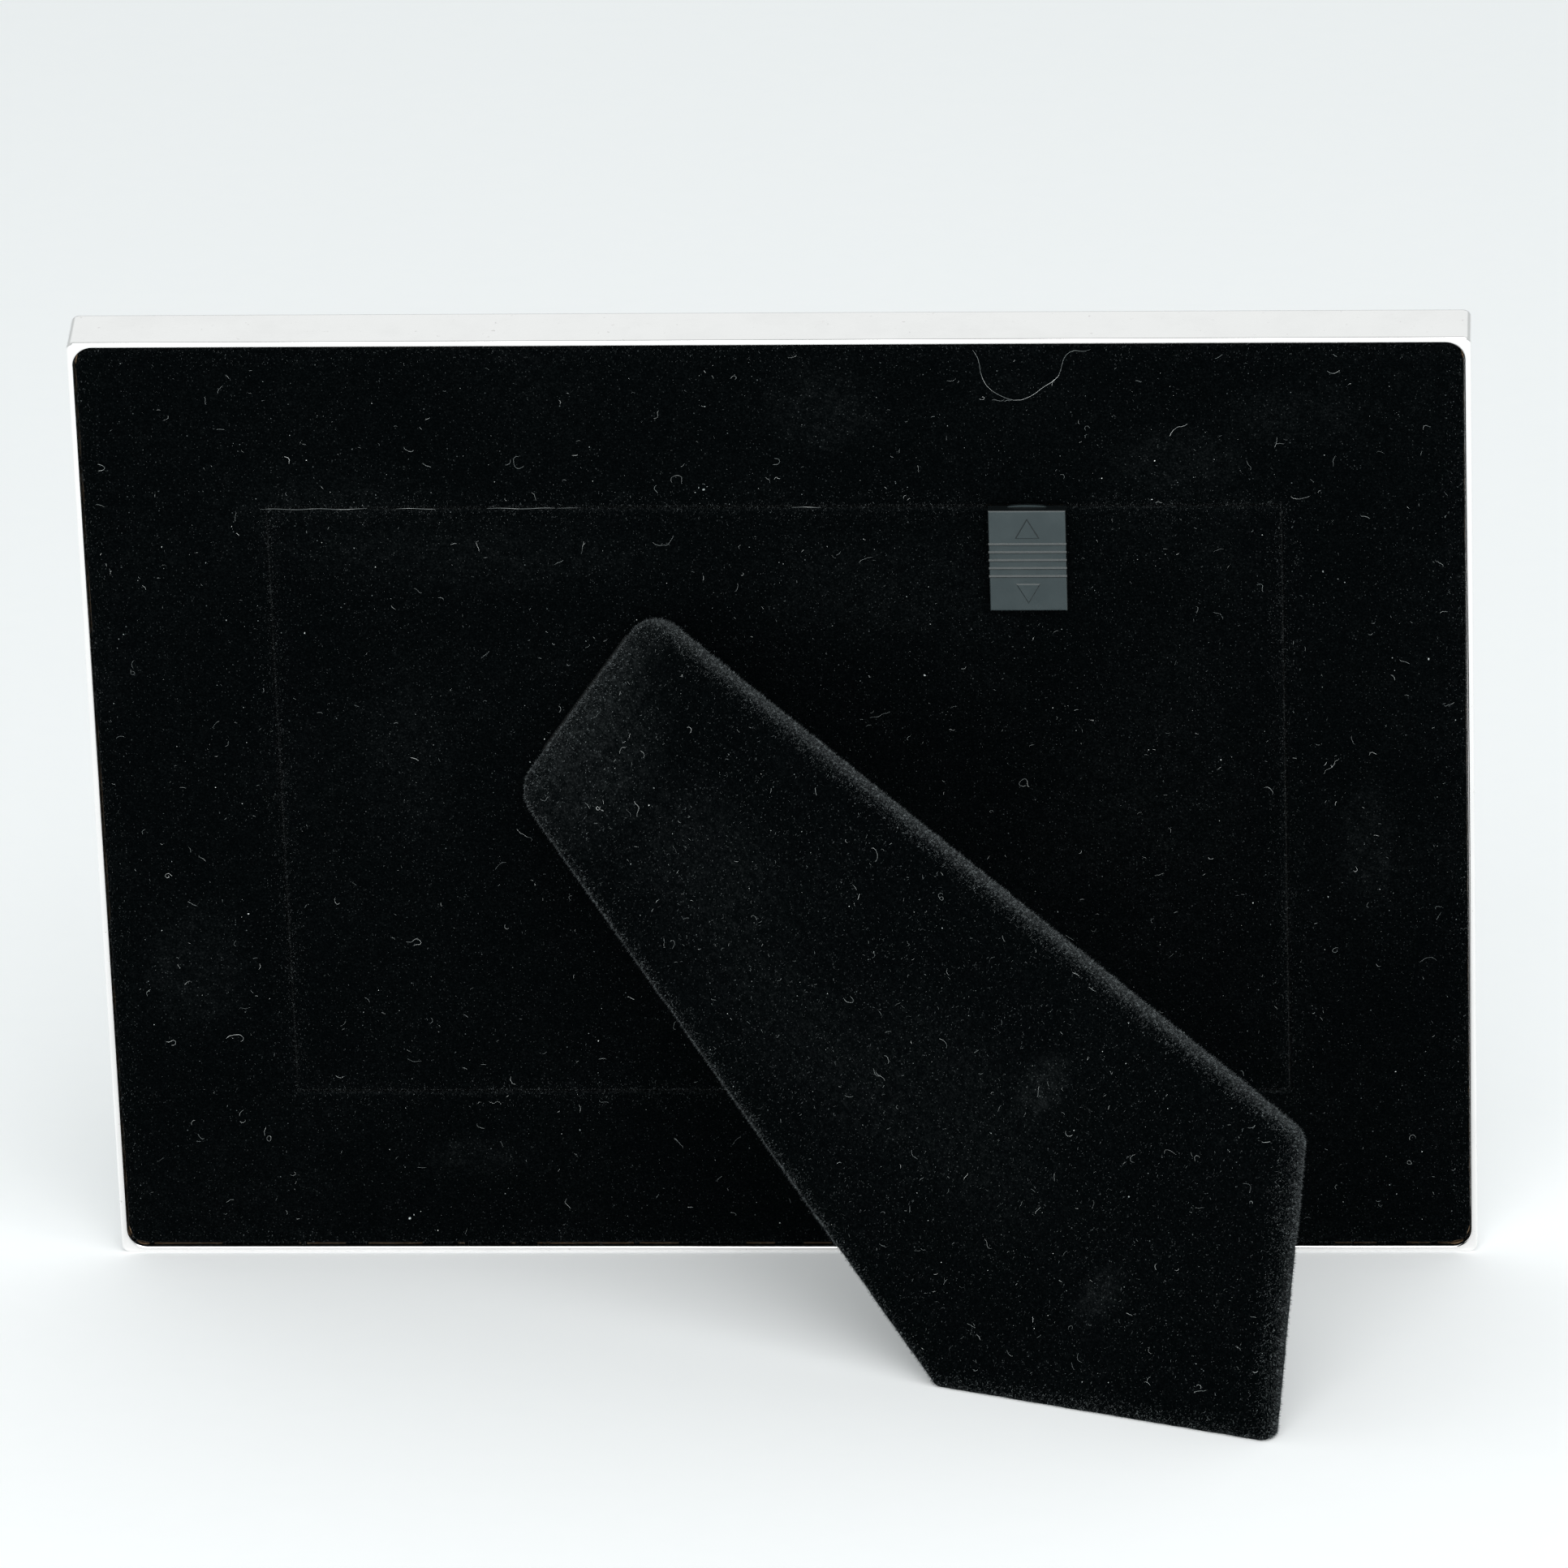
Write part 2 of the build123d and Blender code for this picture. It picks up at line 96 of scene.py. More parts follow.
back_origin = (
    right * middle(span("metal_frame", right))
    + up * middle(span("metal_frame", up))
    + outward * span("metal_frame", outward)[1]
)
back_place = placed(back_origin, right, outward)
strut_place = placed(pin, strut_along, strut_out)
print("back panel at", back_origin, "strut opens by", strut_opening, "radians")

# %% How far each part reaches in its own panel's directions


def reach_in(node, place):
    """Lowest and highest corner of a node, measured in a panel's own directions."""
    inverse = place.inverted()
    points = [inverse @ vertex.co for vertex in frame["nodes"][node].data.vertices]
    low = Vector([min(point[i] for point in points) for i in range(3)])
    high = Vector([max(point[i] for point in points) for i in range(3)])
    return low, high


back_low, back_high = reach_in("back_velvet", back_place)
door_low, door_high = reach_in("door_velvet", back_place)
latch_low, latch_high = reach_in("latch_button", back_place)
strut_low, strut_high = reach_in("strut_velvet", strut_place)
print("back panel", back_high - back_low, "door", door_high - door_low)

# %% [markdown]
# ## Sums on sockets
#
# A finish is a tree of nodes, and a formula such as `dark + specks * 0.3` takes several of them. A
# small class wraps an output socket, so that such a formula can be written as it is read. A second
# class holds one finish: it sets the shader's constants, and adds any other node by its type.

# %% A socket that can be used in a sum


class Wire:
    """An output socket. Sums on it add Math nodes to its finish."""

    def __init__(self, finish, socket):
        self.finish = finish
        self.socket = socket

    def __add__(self, other):
        return self.finish.math("ADD", self, other)

    def __mul__(self, other):
        return self.finish.math("MULTIPLY", self, other)

    __radd__, __rmul__ = __add__, __mul__

    def __sub__(self, other):
        return self.finish.math("SUBTRACT", self, other)

    def __rsub__(self, other):
        return self.finish.math("SUBTRACT", other, self)

    def __truediv__(self, other):
        return self.finish.math("DIVIDE", self, other)

    def __rtruediv__(self, other):
        return self.finish.math("DIVIDE", other, self)

    def __pow__(self, other):
        return self.finish.math("POWER", self, other)


# %% A finish: one material and the nodes behind it


class Finish:
    """A material with a Principled shader. What is the same all over is set on the shader."""

    def __init__(self, name, constants):
        self.material = bpy.data.materials.new(name)
        self.material.use_nodes = True
        self.tree = self.material.node_tree
        self.tree.nodes.clear()
        self.shader = self.tree.nodes.new("ShaderNodeBsdfPrincipled")
        surface = self.tree.nodes.new("ShaderNodeOutputMaterial").inputs["Surface"]
        self.tree.links.new(self.shader.outputs[0], surface)
        self.feed(constants)

    def join(self, socket, value):
        if isinstance(value, Wire):
            self.tree.links.new(value.socket, socket)
        else:
            socket.default_value = value

    def feed(self, values):
        """Sets or links the shader's own sockets."""
        for name, value in values.items():
            self.join(self.shader.inputs[name], value)

    def node(self, kind, settings, sockets, output=0):
        """Adds a node: its settings first, then the values or links of its sockets."""
        made = self.tree.nodes.new(kind)
        for name, value in settings.items():
            if name == "stops":
                stops = made.color_ramp.elements
                while len(stops) < len(value):
                    stops.new(1)
                for stop, (position, colour) in zip(stops, value):
                    stop.position = position
                    stop.color = (*colour, 1)
            else:
                setattr(made, name, value)
        for name, value in sockets.items():
            self.join(made.inputs[name], value)
        return Wire(self, made.outputs[output])

    def math(self, operation, *values):
        return self.node("ShaderNodeMath", {"operation": operation}, dict(enumerate(values)))

    def vector(self, operation, *values, output=0):
        return self.node(
            "ShaderNodeVectorMath", {"operation": operation}, dict(enumerate(values)), output
        )

    def dot(self, first, direction):
        return self.vector("DOT_PRODUCT", first, tuple(direction), output="Value")

    def facing(self, direction):
        """How far the surface faces a direction, from -1 to 1."""
        return self.dot(self.node("ShaderNodeNewGeometry", {}, {}, "Normal"), direction)

    def mix(self, share, first, second):
        """A colour between two colours."""
        a, b = [x if isinstance(x, Wire) else (*x, 1) for x in (first, second)]
        return self.node("ShaderNodeMix", {"data_type": "RGBA"}, {0: share, 6: a, 7: b}, 2)

    def place(self, panel=None):
        """Position on the piece in metres, before any pose, in a panel's directions if given."""
        position = self.node("ShaderNodeTexCoord", {}, {}, "Object")
        if panel is None:
            return position
        sockets = {"Vector": position, "Location": panel.translation, "Rotation": panel.to_euler()}
        return self.node("ShaderNodeMapping", {"vector_type": "TEXTURE"}, sockets)

    def noise(self, place, size, detail=2.0, roughness=0.5, distortion=0.0):
        """Soft noise from about 0 to 1, with lumps about size across."""
        sockets = {
            "Vector": place, "Scale": 1 / size, "Detail": detail,
            "Roughness": roughness, "Distortion": distortion,
        }
        return self.node("ShaderNodeTexNoise", {}, sockets)

    def flecks(self, place, spacing, size):
        """Small spots, each of its own strength from 0 to 1, in a loose scatter."""
        scatter = {"Vector": place, "Scale": 1 / spacing, "Randomness": 1.0}
        cells = self.node("ShaderNodeTexVoronoi", {}, scatter, "Distance")
        chance = self.node("ShaderNodeTexVoronoi", {}, scatter, "Color")
        share = self.node("ShaderNodeSeparateColor", {}, {"Color": chance}, "Red")
        return self.step(cells, 0.5 * size / spacing, 0.2 * size / spacing) * share * share

    def step(self, value, low, high):
        """0 below low, 1 above high, and a smooth rise between."""
        sockets = {"Value": value, "From Min": low, "From Max": high}
        return self.node("ShaderNodeMapRange", {"interpolation_type": "SMOOTHSTEP"}, sockets)

    def bump(self, height, depth, strength=1.0, over=None):
        """A normal from a height of 0 to 1, depth metres deep."""
        sockets = {"Height": height, "Distance": depth, "Strength": strength}
        if over:
            sockets["Normal"] = over
        return self.node("ShaderNodeBump", {}, sockets)


print("finishes are ready to be made")

# %% [markdown]
# ## Black velvet
#
# Velvet is a pile of upright fibres. Looking straight down into it, light goes in and doesn't come
# out, so its face is nearly black. Seen from the side, as on every rolled edge, the fibres' flanks
# catch the light. A sheen would pale the whole sheet, so the finish keeps it low and paints that
# sheen as a pale band along the edges, paler where they face up. Fingers press the pile over in
# patches, which then look paler and a little blue-green; the two broad patches at the strut's hinge
# end are painted sheen, where the face tilts away. So there are four scales: wide clouds, pressed
# patches, a fine mottle, and single bright fibre tips, which are painted glints.

# %% The velvet finish


def pale_patch(finish, place, centre, size):
    """A soft oval from 0 to 1, for one paler patch of the pile. Most are pressed pile; two at the
    strut's hinge end are painted sheen.
    """
    offset = finish.vector("SUBTRACT", place, (centre[0] * mm, centre[1] * mm, 0))
    scaled = finish.vector("MULTIPLY", offset, (1 / (size[0] * mm), 1 / (size[1] * mm), 0))
    distance = finish.vector("LENGTH", scaled, output="Value")
    return 1 - finish.step(distance, 0.25, 1)


def velvet(name, panel, scuffs_and_sheen, edge_light):
    """Black pile on a panel. The paler patches are in millimetres, and edge_light sets the sheen
    painted along the edges.
    """
    finish = Finish(name, {
        "Roughness": 0.95,
        "Specular IOR Level": 0.01,
        "Sheen Weight": 0.02,
        "Sheen Roughness": 0.3,
        "Sheen Tint": (0.75, 0.95, 1.0, 1),
    })
    place = finish.place(panel)
    clouds = finish.step(finish.noise(place, 30 * mm, detail=3, roughness=0.6), 0.4, 0.75)
    mottle = finish.step(finish.noise(place, 1.6 * mm, detail=4, roughness=0.75), 0.35, 0.75)
    grain = finish.noise(place, 0.35 * mm, detail=3, roughness=0.8)
    # The fine and coarse flecks are painted glints: single fibre tips catching the light.
    fine = finish.flecks(place, 0.5 * mm, 0.21 * mm)
    coarse = finish.flecks(place, 1.6 * mm, 0.27 * mm)
    # Paler pile: wide clouds and patches. The patches are pressed pile, except the two at the
    # strut's hinge end, which are painted sheen.
    pressed_and_sheen = clouds * 0.12
    for u, v, size_u, size_v, strength in scuffs_and_sheen:
        pressed_and_sheen = pressed_and_sheen + pale_patch(finish, place, (u, v), (size_u, size_v)) * strength
    # The band along the edges is painted sheen, paler where the edges face up.
    wear_and_edge_sheen = finish.node("ShaderNodeAttribute", {"attribute_name": "edge"}, {}, "Fac")
    lit = finish.step(finish.facing((0, 0, 1)), -0.2, 0.75)
    soft = finish.step(grain, 0.42, 0.7)
    painted_edge_sheen = finish.step(wear_and_edge_sheen + 0.6 * grain, 0.85, 1.4) * edge_light * (0.1 + 0.9 * lit)
    light = 0.03 * soft * (0.4 + 0.6 * mottle) + pressed_and_sheen * (0.03 + 0.12 * mottle) * (0.25 + soft)
    light = light + fine * (0.34 + 0.8 * pressed_and_sheen) + coarse ** 2 * 1.3
    face = finish.mix(light, (0.0003, 0.0008, 0.001), (0.1, 0.115, 0.118))
    colour = finish.mix(painted_edge_sheen * (0.08 + 0.92 * soft * soft), face, (0.1, 0.112, 0.115))
    fibres = finish.bump(grain, 0.1 * mm, 0.7)
    finish.feed({
        "Base Color": colour,
        "Normal": finish.bump(mottle, 0.06 * mm, 0.3, over=fibres),
    })
    return finish.material


back_scuffs = [
    (8, 69, 12, 10, 0.3), (62, 60, 13, 8, 0.26), (91, -8, 6, 16, 0.32),
    (-93, -29, 11, 15, 0.26), (-50, -64, 11, 5, 0.3), (80, 68, 14, 7, 0.2), (-65, 52, 24, 8, 0.12),
]
door_scuffs = [
    (-45, 44, 36, 8, 0.22), (20, 38, 34, 14, 0.16), (-58, 8, 10, 24, 0.16), (60, 0, 20, 44, 0.14),
]
# The two broad patches at -2 and 6 mm, at the hinge end, are painted sheen where the face tilts
# away; the others are pressed pile.
strut_scuffs_and_end_sheen = [
    (95, 9, 5, 8, 0.7), (122, -10, 4, 8, 0.6), (-2, 4, 9, 34, 1.0), (6, -6, 13, 22, 0.7),
    (30, -4, 20, 16, 0.3), (60, -14, 26, 12, 0.25), (84, -4, 30, 18, 0.2),
]
back_velvet_finish = velvet("black_velvet_back", back_place, back_scuffs, 0.15)
door_velvet_finish = velvet("black_velvet_door", back_place, door_scuffs, 0.15)
strut_velvet_finish = velvet("black_velvet_strut", strut_place, strut_scuffs_and_end_sheen, 1.0)
print("velvet finishes", len(back_scuffs) + len(door_scuffs) + len(strut_scuffs_and_end_sheen), "pressed patches")

# %% [markdown]
# ## Sheets with a rolled edge
#
# The velvet is glued to its board and wrapped round the edge, so a panel is flat in the middle and
# rolls down over its last millimetre. A grid can do that if its lines crowd together at the edges:
# each point's height then follows a quarter circle, by its distance from the nearest edge. A little
# noise in the height and in the outline keeps it from looking like moulded plastic. The open edge
# is carried on down the board's side, so that no board shows in the seam.

# %% Helpers for building meshes
roll_steps = 6
roll = 0.9 * mm
wrap_depth = 2.7 * mm
nap_depth = 0.05 * mm


def crowded(low, high, step):
    """Places from low to high, crowded towards both ends for a rolled edge."""
    edge = [roll * (1 - cos(pi / 2 * i / roll_steps)) for i in range(roll_steps)]
    count = ceil((high - low - 2 * roll) / step)
    flat = [low + roll + (high - low - 2 * roll) * i / count for i in range(count + 1)]
    return [low + x for x in edge] + flat + [high - x for x in reversed(edge)]


def rolled(distance):
    """Share of the full height at a distance in from the edge."""
    return sqrt(max(0, 1 - max(0, 1 - distance / roll) ** 2))


def nap_wave(u, v, seed):
    """Gentle unevenness of a glued fabric, from about -1 to 1."""
    wide = noise.noise(Vector((u / (14 * mm), v / (14 * mm), seed)))
    close = noise.noise(Vector((u / (2.6 * mm), v / (2.6 * mm), seed + 5)))
    return 0.65 * wide + 0.35 * close


def build(name, points, faces, place, finish, edge=None):
    """A smooth mesh, made flat and then placed. edge is 1 at a sheet's edge and 0 inside."""
    mesh = bpy.data.meshes.new(name)
    mesh.from_pydata([tuple(point) for point in points], [], faces)
    mesh.transform(place)
    mesh.shade_smooth()
    if edge is not None:
        mesh.attributes.new("edge", "FLOAT", "POINT").data.foreach_set("value", edge)
    piece = bpy.data.objects.new(name, mesh)
    piece.data.materials.append(finish)
    scene.collection.objects.link(piece)
    print(name, len(points), "points", len(faces), "faces")
    return piece


# %% Helpers for the edges of a sheet


def in_latch_way(x, y):
    """Which places on a panel lie under the latch, at either end of its travel."""
    margin = 0.4 * mm
    across = (x > latch_low.x - margin) & (x < latch_high.x + margin)
    return across & (y > latch_low.y - margin) & (y < latch_high.y + travel + margin)


def wrap_down(points, faces, edge):
    """Carries a sheet's open edges down the board's side, except where the latch crosses them."""
    sides = {side for face in faces for side in zip(face, face[1:] + face[:1])}
    points, faces, edge, lower = list(points), list(faces), list(edge), {}
    for a, b in sorted(sides):
        x, y = (points[a][0] + points[b][0]) / 2, (points[a][1] + points[b][1]) / 2
        if (b, a) in sides or in_latch_way(x, y):
            continue
        for corner in (a, b):
            if corner not in lower:
                lower[corner] = len(points)
                points.append((*points[corner][:2], points[corner][2] - wrap_depth))
                edge.append(edge[corner])
        faces.append((b, a, lower[a], lower[b]))
    return points, faces, edge


def lay_velvet(pile, node, body):
    """Puts a sheet of velvet, stretched on a board, in the place of a measured node, which it hides,
    and attaches the sheet to a body.
    """
    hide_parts(node)
    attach(pile, body)


# %% [markdown]
# ## Velvet on the back panel and on the door
#
# The back panel has an opening for the door, and the door has a slot that the latch slides in. Both
# are left out of the grid by skipping the cells inside them. A square corner of the grid is bent
# round by moving each of its points in towards the corner's middle.

# %% Velvet panels
corner_radius = 2.8 * mm
door_corner = 0.7 * mm
seam = 0.16 * mm
tuck = 0.06 * mm
pile_height = 0.1 * mm
edge_swell, swell_width = 0.12 * mm, 3 * mm
ragged_depth = 0.05 * mm
back_seed, door_seed, strut_seed = 3, 8, 21


def round_corner(u, v, half_u, half_v, radius):
    """Bends the square corners of a rectangle into round ones."""
    a = max(0, abs(u) - (half_u - radius))
    b = max(0, abs(v) - (half_v - radius))
    if a <= 0 or b <= 0:
        return u, v
    keep = max(a, b) / hypot(a, b)
    bent_u = half_u - radius + a * keep
    bent_v = half_v - radius + b * keep
    return (bent_u if u > 0 else -bent_u), (bent_v if v > 0 else -bent_v)


def grid_lines(half, hole_low, hole_high, hole_roll):
    """Grid lines across a panel, crowded at its edges and, for a rolled hole, at the hole's too."""
    if not hole_roll:
        return sorted(crowded(-half, half, 1.6 * mm) + [hole_low, hole_high])
    before = crowded(-half, hole_low, 2.2 * mm)
    across_hole = crowded(hole_low, hole_high, 4 * mm)
    return before + across_hole[1:] + crowded(hole_high, half, 2.2 * mm)[1:]


def velvet_panel(outer, hole, base, top, radius, seed, hole_roll):
    """A sheet of pile with a hole. outer is (half width, half height), hole is its four sides."""
    hole_left, hole_right, hole_bottom, hole_top = hole
    cross = grid_lines(outer[0], hole_left, hole_right, hole_roll)
    rise = grid_lines(outer[1], hole_bottom, hole_top, hole_roll)
    points, edge = [], []
    for v in rise:
        for u in cross:
            inside = min(outer[0] - abs(u), outer[1] - abs(v))
            if hole_roll:
                past_hole = max(hole_left - u, u - hole_right, hole_bottom - v, v - hole_top)
                inside = min(inside, max(0, past_hole))
            lift = rolled(inside)
            wave = nap_depth * nap_wave(u, v, seed) * lift
            swell = edge_swell * lift * max(0, 1 - inside / swell_width)
            ragged = ragged_depth * noise.noise(Vector((u, v, seed)) / (0.9 * mm)) * (1 - lift)
            bent_u, bent_v = round_corner(u, v, outer[0], outer[1], radius)
            height = base + (top - base) * lift + wave + swell
            points.append((bent_u + ragged, bent_v + ragged, height))
            edge.append(max(0, 1 - inside / (2 * roll)))
    wide = len(cross)
    faces = []
    for j in range(len(rise) - 1):
        for i in range(wide - 1):
            u, v = (cross[i] + cross[i + 1]) / 2, (rise[j] + rise[j + 1]) / 2
            if hole_left < u < hole_right and hole_bottom < v < hole_top:
                continue
            corner = j * wide + i
            faces.append((corner, corner + 1, corner + wide + 1, corner + wide))
    return wrap_down(*drop_loose(points, faces, edge))


def drop_loose(points, faces, edge):
    """Leaves out the points that no face uses."""
    used = sorted({corner for face in faces for corner in face})
    fresh = {old: new for new, old in enumerate(used)}
    kept_faces = [tuple(fresh[corner] for corner in face) for face in faces]
    return [points[i] for i in used], kept_faces, [edge[i] for i in used]


# %% The back panel's velvet
back_half = (back_high.x, back_high.y)
gap = 2 * seam
opening = (door_low.x - gap, door_high.x + gap, door_low.y - gap, door_high.y + gap)
around_door = (opening[0] + tuck, opening[1] - tuck, opening[2] + tuck, opening[3] - tuck)
points, faces, edge = velvet_panel(
    back_half, around_door, back_low.z, back_high.z - pile_height, corner_radius, back_seed, True
)
back_pile = build("back_velvet_pile", points, faces, back_place, back_velvet_finish, edge)
back_area = 4 * back_half[0] * back_half[1] - (opening[1] - opening[0]) * (opening[3] - opening[2])
lay_velvet(back_pile, "back_velvet", "frame")

# %% The door's velvet
rivet_low, rivet_high = reach_in("latch_rivet", back_place)
stem_half = 2.7 * mm
stem_u = (rivet_low.x + rivet_high.x) / 2
stem_v = (rivet_low.y + rivet_high.y) / 2
slot = (stem_u - stem_half, stem_u + stem_half, stem_v - stem_half, stem_v + stem_half + travel)
door_half = (door_high.x + seam / 2, door_high.y + seam / 2)
door_outer = (door_half[0] + tuck, door_half[1] + tuck)
points, faces, edge = velvet_panel(
    door_outer, slot, door_low.z, door_high.z - pile_height, door_corner, door_seed, False
)
door_pile = build("door_velvet_pile", points, faces, back_place, door_velvet_finish, edge)
lay_velvet(door_pile, "door_velvet", "door")

# %% [markdown]
# ## Velvet round the strut
#
# The strut's velvet is one piece, drawn round the board and turned under its edges. Its outline is
# read from the model: the strut is convex, so its outline is the convex hull of its points. Rings of
# points then follow that outline, from the turned edge underneath, up the side, over the rolled
# corner and in to the middle of the face. The face falls away a little at the hinge end, where the
# board is thinned for the hinge. Nothing may go below the surface that the foot stands on.

# %% The strut's outline


def hull(points):
    """The corners of the convex outline round flat points, anticlockwise."""
    points = sorted(set(points))
    halves = []
    for run in (points, points[::-1]):
        chain = []
        for x, y in run:
            while len(chain) > 1 and (
                (chain[-1][0] - chain[-2][0]) * (y - chain[-2][1])
                - (chain[-1][1] - chain[-2][1]) * (x - chain[-2][0]) <= 0
            ):
                chain.pop()
            chain.append((x, y))
        halves.append(chain[:-1])
    return halves[0] + halves[1]


def evenly(corners, step):
    """Points along a closed outline, about step apart, with the outline's outward directions."""
    ends = corners[1:] + corners[:1]
    lengths = [hypot(b[0] - a[0], b[1] - a[1]) for a, b in zip(corners, ends)]
    total = sum(lengths)
    count = round(total / step)
    found, side, start = [], 0, 0.0
    for i in range(count):
        at = total * i / count
        while at > start + lengths[side]:
            start += lengths[side]
            side += 1
        share = (at - start) / lengths[side]
        a, b = corners[side], ends[side]
        found.append((a[0] + (b[0] - a[0]) * share, a[1] + (b[1] - a[1]) * share))
    normals = []
    for i in range(count):
        before, after = found[i - 3], found[(i + 3) % count]
        dx, dy = after[0] - before[0], after[1] - before[1]
        normals.append((dy / hypot(dx, dy), -dx / hypot(dx, dy)))
    return found, normals


flat_inverse = strut_place.inverted()
flat_points = [flat_inverse @ vertex.co for vertex in frame["nodes"]["strut_velvet"].data.vertices]
strut_hull = hull([(round(point.x, 6), round(point.y, 6)) for point in flat_points])
outline, outline_out = evenly(strut_hull, 0.7 * mm)
centre_x = sum(x for x, y in outline) / len(outline)
centre_y = sum(y for x, y in outline) / len(outline)
print("strut outline", len(outline), "points round", centre_x, centre_y)

# %% The strut's velvet
strut_roll = 1.3 * mm
end_fall = 9.0 * mm
floor_clearance = 0.02 * mm
strut_top = strut_high.z
strut_base = strut_low.z


def face_height(x, y):
    """Height of the strut's face: a low crown, falling away at the hinge end."""
    fall = max(0, 1 - (x - strut_low.x) / end_fall)
    return strut_top - 0.75 * mm * fall ** 2 + 0.06 * mm * nap_wave(x, y, strut_seed)


def strut_ring(inset, share, height):
    """One ring: set in from the outline, then shrunk towards the middle, at a height."""
    ring = []
    for (x, y), (nx, ny) in zip(outline, outline_out):
        lump = 0.1 * mm * noise.noise(Vector((x, y, 2)) / (2.2 * mm)) * share
        px = x - nx * (inset + lump)
        py = y - ny * (inset + lump)
        px = centre_x + (px - centre_x) * share
        py = centre_y + (py - centre_y) * share
        top = face_height(px, py)
        ring.append((px, py, strut_base + (top - strut_base) * height))
    return ring


rings = [
    strut_ring(0.85 * mm, 1, 0.0), strut_ring(0.4 * mm, 1, 0.015), strut_ring(0.12 * mm, 1, 0.07),
    strut_ring(0, 1, 0.16), strut_ring(-0.02 * mm, 1, 0.3), strut_ring(-0.03 * mm, 1, 0.45),
]
edges = [0.4, 0.8, 1, 1, 1, 1]
wall_top = 1 - strut_roll / (strut_top - strut_base)
for i in range(9):
    turn = pi / 2 * i / 8
    inset = strut_roll * (1 - cos(turn))
    rings.append(strut_ring(inset, 1, wall_top + (1 - wall_top) * sin(turn)))
    edges.append(1 - 0.5 * i / 8)
face_rings = 44
for i in range(1, face_rings):
    share = 1 - i / face_rings
    rings.append(strut_ring(strut_roll, share, 1))
    edges.append(max(0, 0.5 - i / 3))
count = len(outline)
centre = (centre_x, centre_y, face_height(centre_x, centre_y))
points = [point for ring in rings for point in ring] + [centre]
edge = [value for value in edges for _ in range(count)] + [0]
faces = []
for ring in range(len(rings) - 1):
    for i in range(count):
        here, after = ring * count + i, ring * count + (i + 1) % count
        faces.append((here, after, after + count, here + count))
last = (len(rings) - 1) * count
faces += [(last + i, last + (i + 1) % count, len(points) - 1) for i in range(count)]


def above_floor(point):
    """The same point, lifted to just above the floor if it was below."""
    world = strut_place @ Vector(point)
    world.z = max(world.z, floor_clearance)
    return flat_inverse @ world


strut_pile = build(
    "strut_velvet_pile", [above_floor(point) for point in points], faces, strut_place,
    strut_velvet_finish, edge,
)
lay_velvet(strut_pile, "strut_velvet", "strut")

# %% [markdown]
# ## Fibres of the pile
#
# A shader alone can't give velvet its soft outline, because an outline is made by shape. So real
# fibres stand on the sheets: thin three-sided spikes, close together on the rolled edges and sparse
# on the flats, where they only add a sparkle. Particle hair would be quicker to write, but it isn't
# a mesh, and would be lost when the model is saved for other programs.

# %% The fibres' finish


def fibre_finish(name, dark, light, size):
    """Fine fibres that differ from one to the next."""
    finish = Finish(name, {
        "Roughness": 0.6,
        "Specular IOR Level": 0.25,
        "Sheen Weight": 0.1,
        "Sheen Tint": (0.85, 0.95, 1.0, 1),
    })
    place = finish.place()
    shade = finish.step(finish.noise(place, size, detail=1), 0.35, 0.72)
    finish.feed({"Base Color": finish.mix(shade ** 2, dark, light)})
    return finish.material


# The paler fibres are painted sheen: black pile fibres are given a grey tone for the light their
# flanks catch from the side.
pile_fibre = fibre_finish("velvet_fibres", (0.006, 0.008, 0.009), (0.2, 0.225, 0.23), 0.5 * mm)

# %% Growing fibres on a sheet
nap = 0.25 * (-up) + 0.1 * right
fibre_radius = 0.028 * mm
third = 2 * pi / 3


def under_latch(points):
    """Which points, in the model's directions, lie in the latch's way."""
    turn = np.array(back_place.inverted())
    x, y, _z = (points @ turn[:3, :3].T + turn[:3, 3]).T
    return in_latch_way(x, y)


def read(items, name, width, kind):
    """One property of every item, as rows of an array."""
    found = np.zeros(len(items) * width, kind)
    items.foreach_get(name, found)
    return found.reshape(-1, width)


